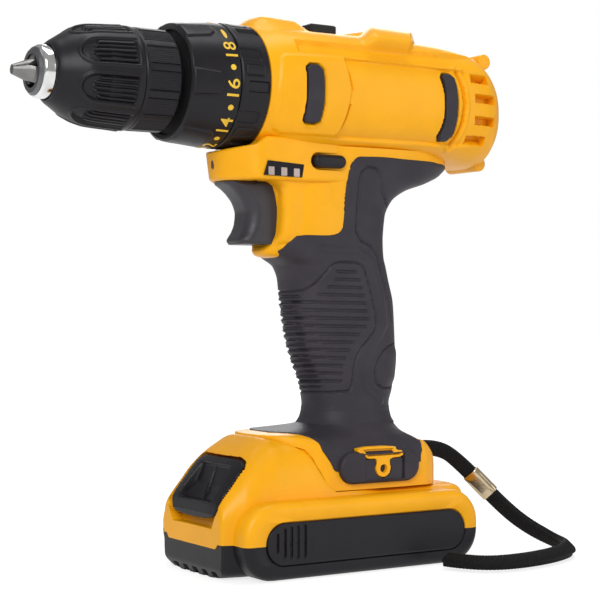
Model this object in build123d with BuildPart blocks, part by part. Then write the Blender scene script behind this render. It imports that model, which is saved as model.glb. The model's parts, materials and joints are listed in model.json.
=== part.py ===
from build123d import *
import os
from math import acos, cos, degrees, pi, radians, sin, sqrt, tan

os.makedirs("parts", exist_ok=True)

# Cordless drill. +Z up, chuck towards -X, left side towards -Y, origin at the centre
# of the battery's bottom face. Lengths in millimetres.

# ---------------------------------------------------------------- driving sizes
axis_height = 203.0
running_gap = 0.05
fitting_gap = 0.1
moving_gap = 0.3

# Stations along the barrel, counted forwards from the housing's front face.
housing_front = -38.4
mode_ring_length = 13.6
torque_collar_length = 22.0
collar_gap = 0.3
mode_ring_radius = 26.4
collar_front_radius = 24.2
collar_mouth_radius = 21.7
collar_lip = 2.4
chuck_gap = 2.6
rear_sleeve_length = 15.9
sleeve_seam = 0.4
front_sleeve_length = 35.4
chuck_nose_length = 4.6
jaw_reach = 8.0
sleeve_radius = 21.2
sleeve_nose_radius = 10.7
sleeve_wall = 1.6

# Chuck.
jaw_angle = 14.0
jaw_radius = 3.3
jaw_length = 33.0
jaw_tip_offset = 1.2
jaw_tip_radius = 1.9
jaw_cone = 3.0
jaw_spacing = 0.2
jaw_count = 3
chuck_bore_radius = 6.7
chuck_bore_depth = 36.0
chuck_body_radius = 16.6
chuck_nose_radius = 9.6
nut_width = 4.6
nut_radius = 18.0
nose_ring_length = 5.6
nose_ring_radius = 10.6
screw_head_radius = 4.6
screw_head_height = 3.4
screw_shank_radius = 2.9
screw_shank_length = 15.0

# Spindle, bearing and gear case.
spindle_thread_radius = 6.35
spindle_thread_length = 17.0
spindle_radius = 7.5
bearing_radius = 16.0
bearing_width = 9.0
bearing_ball_radius = 2.3
bearing_ball_count = 9
bearing_race = 2.1
case_front_wall = 2.2
case_front_length = 4.0
case_tube_radius = 19.2
case_land_radius = 22.9
case_radius = 22.4
case_flange_radius = 24.4
case_flange_width = 3.0
case_wall = 2.9
clutch_wire_radius = 0.8
clutch_turns = 4.0

# Planetary gears: ring, planet and sun tooth counts keep sun + 2 planets = ring.
gear_module = 0.8
sun_teeth = 12
planet_teeth = 15
ring_teeth = sun_teeth + 2 * planet_teeth
planet_count = 3
pressure_angle = 22.0
tooth_addendum = 0.8
tooth_dedendum = 1.1
tooth_backlash = 0.16
gear_width = 13.0
gear_side_gap = 0.5
carrier_width = 4.0
planet_pin_radius = 2.0

# Motor.
motor_radius = 18.5
motor_wall = 1.6
motor_can_length = 66.0
motor_shaft_radius = 2.5
motor_bell_length = 17.0
motor_bearing_radius = 6.5
magnet_thickness = 3.4
magnet_angle = 130.0
armature_gap = 0.6
armature_length = 44.0
armature_slots = 12
commutator_radius = 7.0
commutator_length = 8.0
fan_radius = 13.8
fan_width = 6.0
fan_blades = 14
brush_width = 5.0

# Housing barrel.
wall = 2.5
barrel_half_width = 27.8
barrel_top = 231.5
barrel_bottom = 176.5
barrel_rear = 93.0
barrel_rounding = 14.0
rib_width = 2.2
pad_top = 234.3
saddle_front = 20.5
saddle_rear = 46.0
saddle_half_width = 22.0

# Chin, switch block and trigger.
chin_front = -55.5
chin_low = 163.5
chin_half_width = 19.5
block_front = -31.0
block_half_width = 13.2
trigger_half_width = 9.0
trigger_travel = 6.0
trigger_low = 137.4
plunger_radius = 2.5
switch_rear = 20.0
switch_half_width = 8.5
switch_low = 140.0
light_radius = 2.6
light_height = 169.8
button_length = 16.4
button_height = 6.0
button_centre = -6.0
button_level = 172.2
button_travel = 3.0
window_thickness = 1.2
speed_slot_front = -7.5
speed_button_length = 13.0
speed_button_width = 14.0
speed_travel = 8.0
speed_top = 232.7
speed_flange = 2.5

# Grip and foot.
skin = 1.6
handle_wall = 2.4
foot_low = 33.5
foot_half_width = 28.0
foot_rear = 50.0
foot_top = 62.0
foot_side_top = 46.0
foot_corner = 11.0
band_front = -40.0
lug_reach = 12.0
lug_width = 10.0
lug_low = 33.5
lug_top = 51.5

# Belt hook sockets.
hook_x = 14.8
hook_z = 42.0
hook_hole_radius = 1.7
hook_hole_depth = 6.8
hook_boss_radius = 4.0
socket_length = 41.0
socket_height = 13.5
socket_depth = 2.4

# Battery.
battery_front = -61.0
battery_rear = 60.5
battery_half_width = 29.4
bulge_half_width = 36.9
bulge_top = 31.5
bulge_corner = 14.0
bulge_edge = 3.2
parting_height = 13.6
battery_wall = 2.4
battery_gap = 0.5
battery_deck = foot_low - battery_gap
rail_half_width = 22.4
rail_neck_half_width = 19.2
rail_low = 36.8
rail_high = 41.0
rail_front = -14.0
rail_rear = 46.8
cell_radius = 9.15
cell_length = 65.0
cell_pitch = 19.0
cell_count = 5
cell_height = 12.4
pad_front = -47.0
pad_rear = 53.0
pad_low = 6.3
pad_high = 23.3
pad_depth = 1.2
pad_proud = 0.3
release_half_width = 20.5
release_low = 20.5
release_high = 48.0
release_travel = 3.0
release_depth = 13.0
blade_half_width = 0.5
blade_pitch = 9.0
blade_count = 4

# Fasteners.
screw_radius = 1.5
screw_head = 2.9
screw_head_depth = 2.0
boss_radius = 4.2
housing_screw_length = 22.0

# Strap.
strap_radius = 3.6
ferrule_radius = 4.5
ferrule_length = 13.6

# ---------------------------------------------------------------- worked-out stations
mode_ring_front = housing_front - mode_ring_length
collar_front = mode_ring_front - torque_collar_length
case_front = collar_front + collar_lip
chuck_rear = collar_front - chuck_gap
rear_sleeve_front = chuck_rear - rear_sleeve_length
front_sleeve_rear = rear_sleeve_front - sleeve_seam
front_sleeve_front = front_sleeve_rear - front_sleeve_length
chuck_nose = front_sleeve_front - chuck_nose_length
jaw_tip = chuck_nose - jaw_reach
nut_rear = jaw_tip + jaw_length - 0.5
nut_front = nut_rear - nut_width
bearing_front = case_front + case_front_wall + fitting_gap
bearing_rear = bearing_front + bearing_width
output_plate_front = bearing_rear + 4.0
output_plate_rear = output_plate_front + carrier_width
second_gear_front = output_plate_rear + gear_side_gap
second_gear_rear = second_gear_front + gear_width
first_plate_front = second_gear_rear + gear_side_gap
first_plate_rear = first_plate_front + carrier_width
first_gear_front = first_plate_rear + gear_side_gap
first_gear_rear = first_gear_front + gear_width
motor_front = first_gear_rear + 4.0
motor_rear = motor_front + motor_can_length
bell_rear = motor_rear + motor_bell_length
case_rear = motor_front - fitting_gap

barrel_plane = Plane(origin=(0, 0, axis_height), x_dir=(1, 0, 0), z_dir=(0, -1, 0))
barrel_axis = Axis((0, 0, axis_height), (1, 0, 0))


# ---------------------------------------------------------------- shared operations
# Plane across the barrel at a station, with Y across and Z up.
def across(station, level=axis_height):
    return Plane(origin=(station, 0, level), x_dir=(0, 1, 0), z_dir=(1, 0, 0))


# Turns a closed profile of (station, radius) points about the barrel axis.
def turn(*points, mode=Mode.ADD):
    with BuildSketch(barrel_plane) as profile:
        with BuildLine():
            Polyline(*points, close=True)
        make_face()
    revolve(profile.sketch, axis=barrel_axis, mode=mode)


# Turns a plain ring or disc between two stations.
def turn_ring(front, rear, inner, outer, mode=Mode.ADD):
    turn((front, inner), (rear, inner), (rear, outer), (front, outer), mode=mode)


# Extrudes a side outline of (x, z) points from y_low to y_high.
def side_slab(points, y_low, y_high, rounding=0, mode=Mode.ADD):
    with BuildSketch(Plane.XZ.offset(-y_high)) as outline:
        with BuildLine():
            Polyline(*points, close=True)
        make_face()
        if rounding:
            fillet(outline.vertices(), rounding)
    extrude(outline.sketch, amount=y_high - y_low, mode=mode)


# Extrudes a plain box given by its low and high corners.
def block(low, high, mode=Mode.ADD):
    with BuildSketch(Plane.XY.offset(low[2])) as base:
        with Locations(((low[0] + high[0]) / 2, (low[1] + high[1]) / 2)):
            Rectangle(high[0] - low[0], high[1] - low[1])
    extrude(base.sketch, amount=high[2] - low[2], mode=mode)


# Extrudes a cylinder across the body, from y_low to y_high.
def cross_pin(x, z, radius, y_low, y_high, mode=Mode.ADD):
    with BuildSketch(Plane.XZ.offset(-y_high)) as circle:
        with Locations((x, z)):
            Circle(radius)
    extrude(circle.sketch, amount=y_high - y_low, mode=mode)


# Labels a finished piece and writes its file.
def write(piece, name):
    piece.part.label = name
    export_step(piece.part, f"parts/{name}.step")


# Keeps the left or the right half of the piece being built.
def keep_half(side):
    split(bisect_by=Plane.XZ, keep=Keep.TOP if side == "left" else Keep.BOTTOM)


# ---------------------------------------------------------------- gears
# Half of a tooth's width angle at a radius, for an involute tooth.
def tooth_half_angle(radius, pitch_radius, teeth, thinning):
    base = pitch_radius * cos(radians(pressure_angle))
    pitch_involute = tan(radians(pressure_angle)) - radians(pressure_angle)
    half_pitch_angle = pi / (2 * teeth) - thinning / (2 * pitch_radius)
    if radius <= base:
        return half_pitch_angle + pitch_involute
    local = acos(base / radius)
    return half_pitch_angle + pitch_involute - (tan(local) - local)


# Points of a gear outline: each tooth rises on one flank and falls on the other.
def gear_outline(teeth, tip_radius, root_radius, thinning, turn_angle, steps=5):
    pitch_radius = gear_module * teeth / 2
    points = []
    for tooth in range(teeth):
        middle = radians(turn_angle) + 2 * pi * tooth / teeth
        low, high = sorted((root_radius, tip_radius))
        radii = [low + (high - low) * step / (steps - 1) for step in range(steps)]
        for side, order in ((-1, radii), (1, radii[::-1])):
            for radius in order:
                angle = middle + side * tooth_half_angle(radius, pitch_radius, teeth, thinning)
                points.append((radius * cos(angle), radius * sin(angle)))
    return points


# Extrudes an external gear about a centre on the plane across the barrel.
def external_gear(teeth, front, rear, centre=(0, 0), turn_angle=0.0):
    pitch_radius = gear_module * teeth / 2
    outline = gear_outline(
        teeth,
        pitch_radius + tooth_addendum * gear_module,
        pitch_radius - tooth_dedendum * gear_module,
        tooth_backlash,
        turn_angle,
    )
    with BuildSketch(across(front)) as gear:
        with BuildLine():
            Polyline(*[(centre[0] + x, centre[1] + y) for x, y in outline], close=True)
        make_face()
    extrude(gear.sketch, amount=rear - front)


sun_radius = gear_module * sun_teeth / 2
planet_radius = gear_module * planet_teeth / 2
ring_radius = gear_module * ring_teeth / 2
planet_orbit = sun_radius + planet_radius
ring_outer_radius = case_radius - case_wall
carrier_radius = ring_radius - tooth_addendum * gear_module - moving_gap


# Centre of one planet on the plane across the barrel (0 degrees is +Y).
def planet_centre(index):
    angle = radians(90 + 360 * index / planet_count)
    return (planet_orbit * cos(angle), planet_orbit * sin(angle))


# ---------------------------------------------------------------- chuck
def jaw_plane(index):
    turned = radians(360 * index / jaw_count)
    lean = radians(jaw_angle)
    out = (0, sin(turned), cos(turned))
    start = (
        jaw_tip,
        jaw_tip_offset * out[1],
        axis_height + jaw_tip_offset * out[2],
    )
    along = (cos(lean), sin(lean) * out[1], sin(lean) * out[2])
    return Plane(origin=start, x_dir=(0, cos(turned), -sin(turned)), z_dir=along)


for index in range(jaw_count):
    with BuildPart() as chuck_jaw:
        with BuildSketch(jaw_plane(index).offset(-jaw_radius)):
            Circle(jaw_radius)
        extrude(amount=jaw_length / cos(radians(jaw_angle)) + jaw_radius)
        # The tip is a blunt cone, and the gripping sides meet along the axis.
        turn(
            (jaw_tip, 0),
            (jaw_tip + jaw_length, 0),
            (jaw_tip + jaw_length, nut_radius),
            (jaw_tip + jaw_reach + nut_width, nut_radius),
            (jaw_tip + jaw_reach, jaw_tip_radius + jaw_cone),
            (jaw_tip, jaw_tip_radius),
            mode=Mode.INTERSECT,
        )
        reach = 2 * nut_radius
        spread = radians(180 / jaw_count)
        edge = jaw_spacing / 2 / sin(spread)
        with BuildSketch(across(jaw_tip - 1)):
            Polygon(
                (edge, 0),
                (edge + reach * cos(spread), -reach * sin(spread)),
                (edge + reach * cos(spread), reach * sin(spread)),
                rotation=90 - 360 * index / jaw_count,
                align=None,
            )
        extrude(amount=jaw_length + 2, mode=Mode.INTERSECT)
    write(chuck_jaw, f"chuck_jaw_{index + 1}")

# The nut's cone follows the jaws' outer sides.
jaw_slope = tan(radians(jaw_angle))


def jaw_outer_radius(station):
    return jaw_tip_offset + (station - jaw_tip) * jaw_slope + jaw_radius / cos(radians(jaw_angle))


with BuildPart() as chuck_body:
    groove_radius = jaw_outer_radius(nut_front) - 0.6
    bore_floor = chuck_nose + chuck_bore_depth
    turn(
        (chuck_nose, 0),
        (chuck_rear, 0),
        (chuck_rear, chuck_body_radius),
        (nut_rear + moving_gap, chuck_body_radius),
        (nut_rear + moving_gap, groove_radius),
        (nut_front - moving_gap, groove_radius),
        (nut_front - moving_gap, chuck_body_radius - 2),
        (front_sleeve_front + nose_ring_length + 1, nose_ring_radius - 1.2),
        (chuck_nose + 1, chuck_nose_radius),
        (chuck_nose, chuck_nose_radius - 1),
    )
    turn_ring(chuck_nose, bore_floor, 0, chuck_bore_radius, mode=Mode.SUBTRACT)
    turn_ring(
        chuck_rear - spindle_thread_length - fitting_gap,
        chuck_rear,
        0,
        spindle_thread_radius + running_gap,
        mode=Mode.SUBTRACT,
    )
    turn_ring(bore_floor, chuck_rear, 0, screw_shank_radius + fitting_gap, mode=Mode.SUBTRACT)
    for index in range(jaw_count):
        with BuildSketch(jaw_plane(index)) as channel:
            Circle(jaw_radius + running_gap)
        extrude(channel.sketch, amount=chuck_rear - jaw_tip, mode=Mode.SUBTRACT)
write(chuck_body, "chuck_body")

with BuildPart() as jaw_nut:
    clear = fitting_gap
    turn(
        (nut_front, jaw_outer_radius(nut_front) + clear),
        (nut_rear, jaw_outer_radius(nut_rear) + clear),
        (nut_rear, nut_radius),
        (nut_front, nut_radius),
    )
write(jaw_nut, "jaw_nut")

with BuildPart() as chuck_nose_ring:
    turn(
        (front_sleeve_front - 0.2, chuck_nose_radius + running_gap),
        (front_sleeve_front + nose_ring_length, chuck_nose_radius + running_gap),
        (front_sleeve_front + nose_ring_length, nose_ring_radius - 0.6),
        (front_sleeve_front - 0.2, nose_ring_radius),
    )
    chamfer(chuck_nose_ring.edges().filter_by(GeomType.CIRCLE).sort_by(Axis.X)[0:1], 0.3)
write(chuck_nose_ring, "chuck_nose_ring")

with BuildPart() as chuck_front_sleeve:
    inner = sleeve_radius - sleeve_wall
    mouth = nose_ring_radius + moving_gap
    turn(
        (front_sleeve_front, mouth),
        (front_sleeve_front + nose_ring_length + 2, mouth),
        (nut_front - 0.2, nut_radius - 2),
        (nut_front - 0.2, nut_radius + fitting_gap),
        (nut_rear, nut_radius + fitting_gap),
        (nut_rear + 2, inner),
        (front_sleeve_rear, inner),
        (front_sleeve_rear, sleeve_radius),
        (front_sleeve_front + 22, sleeve_radius - 0.8),
        (front_sleeve_front + 14, sleeve_radius - 1.9),
        (front_sleeve_front + 9.5, sleeve_radius - 4.4),
        (front_sleeve_front + 4.5, sleeve_radius - 7.4),
        (front_sleeve_front + 0.8, sleeve_nose_radius + 0.8),
        (front_sleeve_front, sleeve_nose_radius + 0.2),
    )
    # Finger grooves run back from the nose's shoulder to the seam.
    with BuildSketch(across(front_sleeve_rear - 0.8)) as grooves:
        with PolarLocations(sleeve_radius, 40):
            Circle(0.5)
    extrude(grooves.sketch, amount=-11, mode=Mode.SUBTRACT)
write(chuck_front_sleeve, "chuck_front_sleeve")

with BuildPart() as chuck_rear_sleeve:
    hub = chuck_body_radius + running_gap
    turn(
        (rear_sleeve_front, sleeve_radius - sleeve_wall),
        (chuck_rear - 3, sleeve_radius - sleeve_wall),
        (chuck_rear - 3, hub),
        (chuck_rear, hub),
        (chuck_rear, sleeve_radius - 0.8),
        (chuck_rear - 0.8, sleeve_radius),
        (rear_sleeve_front, sleeve_radius),
    )
    with BuildSketch(across(rear_sleeve_front + 1)) as grooves:
        with PolarLocations(sleeve_radius, 40):
            Circle(0.5)
    extrude(grooves.sketch, amount=rear_sleeve_length - 3, mode=Mode.SUBTRACT)
write(chuck_rear_sleeve, "chuck_rear_sleeve")

with BuildPart() as chuck_screw:
    turn(
        (bore_floor - screw_head_height, 0),
        (bore_floor - screw_head_height, screw_head_radius),
        (bore_floor, screw_head_radius),
        (bore_floor, screw_shank_radius),
        (bore_floor + screw_shank_length, screw_shank_radius),
        (bore_floor + screw_shank_length, 0),
    )
    with BuildSketch(across(bore_floor - screw_head_height)) as socket:
        RegularPolygon(radius=2.2, side_count=6)
    extrude(socket.sketch, amount=screw_head_height - 1, mode=Mode.SUBTRACT)
write(chuck_screw, "chuck_screw")

# ---------------------------------------------------------------- spindle and gear train
output_hub_radius = 6.0
with BuildPart() as spindle:
    turn(
        (chuck_rear - spindle_thread_length, 0),
        (chuck_rear - spindle_thread_length, spindle_thread_radius),
        (chuck_rear, spindle_thread_radius),
        (chuck_rear, spindle_radius + 1.5),
        (bearing_front, spindle_radius + 1.5),
        (bearing_front, spindle_radius),
        (bearing_rear + 3, spindle_radius),
        (bearing_rear + 3, output_hub_radius),
        (output_plate_rear, output_hub_radius),
        (output_plate_rear, 0),
    )
    turn_ring(
        chuck_rear - spindle_thread_length,
        bore_floor + screw_shank_length + 1,
        0,
        screw_shank_radius + fitting_gap,
        mode=Mode.SUBTRACT,
    )
    # Two flats drive the output carrier.
    for side in (-1, 1):
        flat = side * (output_hub_radius - 1)
        block(
            (bearing_rear + 3, min(flat, 2 * flat), axis_height - spindle_radius),
            (output_plate_rear, max(flat, 2 * flat), axis_height + spindle_radius),
            mode=Mode.SUBTRACT,
        )
write(spindle, "spindle")

with BuildPart() as output_carrier:
    turn_ring(output_plate_front, output_plate_rear, 0, carrier_radius)
    with BuildSketch(across(output_plate_front)) as drive_hole:
        Circle(output_hub_radius + fitting_gap)
        Rectangle(
            2 * (output_hub_radius - 1 + fitting_gap),
            4 * output_hub_radius,
            mode=Mode.INTERSECT,
        )
    extrude(drive_hole.sketch, amount=carrier_width, mode=Mode.SUBTRACT)
    with BuildSketch(across(output_plate_rear)) as pins:
        with Locations(*[planet_centre(index) for index in range(planet_count)]):
            Circle(planet_pin_radius)
    extrude(pins.sketch, amount=gear_side_gap + gear_width)
write(output_carrier, "output_carrier")

with BuildPart() as first_carrier:
    turn_ring(first_plate_front, first_plate_rear, 0, carrier_radius)
    external_gear(sun_teeth, second_gear_front, first_plate_front, turn_angle=90)
    with BuildSketch(across(first_plate_rear)) as pins:
        with Locations(*[planet_centre(index) for index in range(planet_count)]):
            Circle(planet_pin_radius)
    extrude(pins.sketch, amount=gear_side_gap + gear_width)
write(first_carrier, "first_carrier")

for stage, gear_front, gear_rear in (
    ("second", second_gear_front, second_gear_rear),
    ("first", first_gear_front, first_gear_rear),
):
    for index in range(planet_count):
        with BuildPart() as planet:
            centre = planet_centre(index)
            outward = 90 + 360 * index / planet_count
            external_gear(planet_teeth, gear_front, gear_rear, centre, outward)
            with BuildSketch(across(gear_front)) as bore:
                with Locations(centre):
                    Circle(planet_pin_radius + running_gap)
            extrude(bore.sketch, amount=gear_width, mode=Mode.SUBTRACT)
        write(planet, f"{stage}_planet_{index + 1}")

with BuildPart() as ring_gear:
    turn_ring(
        second_gear_front - fitting_gap,
        first_gear_rear + gear_side_gap,
        0,
        ring_outer_radius - running_gap,
    )
    # The spaces between internal teeth are the outline of a wider external gear.
    spaces = gear_outline(
        ring_teeth,
        ring_radius + tooth_dedendum * gear_module,
        ring_radius - tooth_addendum * gear_module,
        -tooth_backlash,
        90,
    )
    with BuildSketch(across(second_gear_front - fitting_gap)) as opening:
        with BuildLine():
            Polyline(*spaces, close=True)
        make_face()
    extrude(
        opening.sketch,
        amount=first_gear_rear + gear_side_gap - second_gear_front + fitting_gap,
        mode=Mode.SUBTRACT,
    )
write(ring_gear, "ring_gear")

with BuildPart() as motor_pinion:
    external_gear(sun_teeth, first_gear_front, first_gear_rear + 2, turn_angle=90)
    turn_ring(
        first_gear_front,
        first_gear_rear + 2,
        0,
        motor_shaft_radius + fitting_gap / 2,
        mode=Mode.SUBTRACT,
    )
write(motor_pinion, "motor_pinion")

with BuildPart() as spindle_bearing:
    middle = (spindle_radius + bearing_radius) / 2
    inner_bore = spindle_radius + running_gap
    turn_ring(bearing_front, bearing_rear, inner_bore, inner_bore + bearing_race)
    turn_ring(bearing_front, bearing_rear, bearing_radius - bearing_race, bearing_radius)
    with Locations(across((bearing_front + bearing_rear) / 2)):
        with PolarLocations(middle, bearing_ball_count):
            Sphere((bearing_radius - inner_bore) / 2 - bearing_race - running_gap)
write(spindle_bearing, "spindle_bearing")

# ---------------------------------------------------------------- gear case and clutch
land_front = collar_front + torque_collar_length - 3
with BuildPart() as gear_case:
    turn(
        (case_front, spindle_radius + 1.5 + moving_gap),
        (bearing_front, spindle_radius + 1.5 + moving_gap),
        (bearing_front, bearing_radius + fitting_gap / 2),
        (bearing_rear, bearing_radius + fitting_gap / 2),
        (bearing_rear, carrier_radius - 2),
        (bearing_rear + 1.5, carrier_radius - 2),
        (bearing_rear + 1.5, carrier_radius + moving_gap),
        (second_gear_front - 2 * fitting_gap, carrier_radius + moving_gap),
        (second_gear_front - 2 * fitting_gap, ring_outer_radius),
        (case_rear, ring_outer_radius),
        (case_rear, case_radius),
        (housing_front + wall + case_flange_width, case_radius),
        (housing_front + wall + case_flange_width, case_flange_radius),
        (housing_front + wall + fitting_gap, case_flange_radius),
        (housing_front + wall + fitting_gap, case_land_radius),
        (land_front, case_land_radius),
        (land_front, case_tube_radius),
        (case_front + case_front_length, case_tube_radius),
        (case_front + case_front_length, collar_mouth_radius - running_gap),
        (case_front, collar_mouth_radius - running_gap),
    )
write(gear_case, "gear_case")

with BuildPart() as clutch_spring:
    coil_front = case_front + case_front_length + clutch_wire_radius + fitting_gap
    coil_length = land_front - coil_front - clutch_wire_radius - fitting_gap
    coil_radius = case_tube_radius + clutch_wire_radius + fitting_gap
    with BuildLine() as coil:
        Helix(
            pitch=coil_length / clutch_turns,
            height=coil_length,
            radius=coil_radius,
            center=(coil_front, 0, axis_height),
            direction=(1, 0, 0),
        )
    start = coil.line @ 0
    with BuildSketch(Plane(origin=start, z_dir=coil.line % 0)):
        Circle(clutch_wire_radius)
    sweep(path=coil.line, is_frenet=True)
write(clutch_spring, "clutch_spring")


# ---------------------------------------------------------------- motor
magnet_outer = motor_radius - motor_wall
magnet_inner = magnet_outer - magnet_thickness
core_front = motor_front + 10.0
core_rear = core_front + armature_length
commutator_front = motor_rear + 3.0
fan_front = bell_rear + 2.5
shaft_rear = fan_front + fan_width

with BuildPart() as motor_can:
    turn(
        (motor_front, motor_shaft_radius + moving_gap),
        (motor_front, motor_radius),
        (motor_rear, motor_radius),
        (motor_rear, magnet_outer),
        (motor_front + motor_wall, magnet_outer),
        (motor_front + motor_wall, motor_bearing_radius),
        (motor_front + motor_wall + 4, motor_bearing_radius),
        (motor_front + motor_wall + 4, motor_shaft_radius + running_gap),
        (motor_front + motor_wall, motor_shaft_radius + running_gap),
    )
    with BuildSketch(across(motor_front)) as vents:
        with PolarLocations((motor_bearing_radius + magnet_outer) / 2, 6):
            SlotOverall(7, 3)
    extrude(vents.sketch, amount=motor_wall, mode=Mode.SUBTRACT)
write(motor_can, "motor_can")

with BuildPart() as motor_magnets:
    for start in (90 - magnet_angle / 2, 270 - magnet_angle / 2):
        with BuildSketch(across(core_front - 2)) as magnet:
            with BuildLine():
                outer_arc = CenterArc((0, 0), magnet_outer - running_gap, start, magnet_angle)
                inner_arc = CenterArc((0, 0), magnet_inner, start, magnet_angle)
                Line(outer_arc @ 0, inner_arc @ 0)
                Line(outer_arc @ 1, inner_arc @ 1)
            make_face()
        extrude(magnet.sketch, amount=armature_length + 4)
write(motor_magnets, "motor_magnets")

with BuildPart() as motor_end_bell:
    turn(
        (motor_rear, commutator_radius + 4),
        (motor_rear, motor_radius),
        (bell_rear - 3, motor_radius),
        (bell_rear, motor_bearing_radius + 4),
        (bell_rear, motor_shaft_radius + running_gap),
        (bell_rear - 5, motor_shaft_radius + running_gap),
        (bell_rear - 5, commutator_radius + 4),
    )
    turn_ring(motor_rear - 4, motor_rear, magnet_inner, magnet_outer - running_gap)
    # Two pockets guide the brushes onto the commutator.
    for side in (-1, 1):
        y_near = side * (commutator_radius + 2)
        y_far = side * (motor_radius + 1)
        block(
            (commutator_front, min(y_near, y_far), axis_height - brush_width / 2 - running_gap),
            (
                commutator_front + commutator_length,
                max(y_near, y_far),
                axis_height + brush_width / 2 + running_gap,
            ),
            mode=Mode.SUBTRACT,
        )
write(motor_end_bell, "motor_end_bell")

with BuildPart() as carbon_brushes:
    for side in (-1, 1):
        y_near = side * (commutator_radius + moving_gap)
        y_far = side * (motor_radius - 2)
        block(
            (commutator_front + 1, min(y_near, y_far), axis_height - brush_width / 2),
            (commutator_front + commutator_length - 1, max(y_near, y_far), axis_height + brush_width / 2),
        )
write(carbon_brushes, "carbon_brushes")

with BuildPart() as motor_shaft:
    turn_ring(first_gear_front, shaft_rear, 0, motor_shaft_radius)
write(motor_shaft, "motor_shaft")

core_radius = magnet_inner - armature_gap
with BuildPart() as armature_core:
    turn_ring(core_front, core_rear, motor_shaft_radius + fitting_gap / 2, core_radius)
    with BuildSketch(across(core_front)) as slots:
        with PolarLocations(core_radius - 2.4, armature_slots):
            SlotOverall(5.4, 1.8)
    extrude(slots.sketch, amount=armature_length, mode=Mode.SUBTRACT)
write(armature_core, "armature_core")

with BuildPart() as commutator:
    turn(
        (core_rear + 2, motor_shaft_radius + fitting_gap / 2),
        (core_rear + 2, commutator_radius - 1),
        (commutator_front, commutator_radius - 1),
        (commutator_front, commutator_radius),
        (commutator_front + commutator_length, commutator_radius),
        (commutator_front + commutator_length, motor_shaft_radius + fitting_gap / 2),
    )
write(commutator, "commutator")

with BuildPart() as cooling_fan:
    turn_ring(fan_front, shaft_rear, motor_shaft_radius + fitting_gap / 2, 5)
    turn_ring(fan_front, fan_front + 1, 5, fan_radius)
    with BuildSketch(across(fan_front)) as blades:
        with PolarLocations((4.5 + fan_radius) / 2, fan_blades):
            Rectangle(fan_radius - 4.9, 1, rotation=18)
    extrude(blades.sketch, amount=fan_width)
write(cooling_fan, "cooling_fan")

# ---------------------------------------------------------------- collars
with BuildPart() as torque_collar:
    turn(
        (collar_front + 0.8, collar_mouth_radius),
        (land_front - fitting_gap, collar_mouth_radius),
        (land_front - fitting_gap, case_land_radius + running_gap),
        (mode_ring_front - collar_gap, case_land_radius + running_gap),
        (mode_ring_front - collar_gap, mode_ring_radius - 0.5),
        (mode_ring_front - collar_gap - 0.5, mode_ring_radius),
        (collar_front + 8, collar_front_radius + 1.2),
        (collar_front + 1, collar_front_radius),
        (collar_front, collar_front_radius - 0.9),
        (collar_front, collar_mouth_radius + 0.8),
    )
write(torque_collar, "torque_collar")

with BuildPart() as mode_ring:
    turn(
        (mode_ring_front, case_land_radius + running_gap),
        (housing_front - collar_gap, case_land_radius + running_gap),
        (housing_front - collar_gap, mode_ring_radius - 0.5),
        (housing_front - collar_gap - 0.5, mode_ring_radius),
        (mode_ring_front + 0.5, mode_ring_radius),
        (mode_ring_front, mode_ring_radius - 0.5),
    )
    # Finger recesses between the grip blocks.
    recess_length = mode_ring_length - 6
    for index in range(12):
        angle = 15 + 30 * index
        turned = radians(angle)
        out = Vector(0, cos(turned), sin(turned))
        face = Plane(
            origin=(housing_front - mode_ring_length / 2, 0, axis_height)
            + out * (mode_ring_radius - 1.1),
            x_dir=(1, 0, 0),
            z_dir=out,
        )
        with BuildSketch(face) as recess:
            RectangleRounded(recess_length, 6.4, 1.6)
        extrude(recess.sketch, amount=3, mode=Mode.SUBTRACT)
write(mode_ring, "mode_ring")

# ---------------------------------------------------------------- outer forms
nose_height = mode_ring_radius


# Barrel body as rounded sections from the round front to the small rear face.
def barrel_form(inset, front):
    stations = (
        (front, axis_height - nose_height, axis_height + nose_height, nose_height, nose_height - 0.1),
        (housing_front + 6, barrel_bottom, barrel_top - 1.4, barrel_half_width - 1.0, barrel_rounding + 8),
        (housing_front + 16, barrel_bottom, barrel_top - 0.8, barrel_half_width - 0.3, barrel_rounding + 3),
        (housing_front + 50, barrel_bottom, barrel_top, barrel_half_width, barrel_rounding),
        (barrel_rear - 35, barrel_bottom + 0.5, barrel_top - 3.5, barrel_half_width, barrel_rounding),
        (barrel_rear - 27, barrel_bottom + 2, barrel_top - 4.3, barrel_half_width - 0.6, barrel_rounding),
        (barrel_rear - 19, barrel_bottom + 4.5, barrel_top - 6, barrel_half_width - 2.2, barrel_rounding),
        (barrel_rear - 12, barrel_bottom + 8, barrel_top - 9.5, barrel_half_width - 5, barrel_rounding - 1),
        (barrel_rear - 6, barrel_bottom + 13, barrel_top - 15.5, barrel_half_width - 9.4, barrel_rounding - 3),
        (barrel_rear - inset, axis_height - 8, axis_height + 7, 12.5, 7),
    )
    faces = []
    for station, low, high, half_width, rounding in stations:
        with BuildSketch(across(station, (low + high) / 2)) as section:
            RectangleRounded(
                2 * (half_width - inset),
                high - low - 2 * inset,
                rounding - inset,
            )
        faces.append(section.sketch.face())
    with BuildPart() as form:
        loft(sections=faces, ruled=True)
    return form.part


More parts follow.
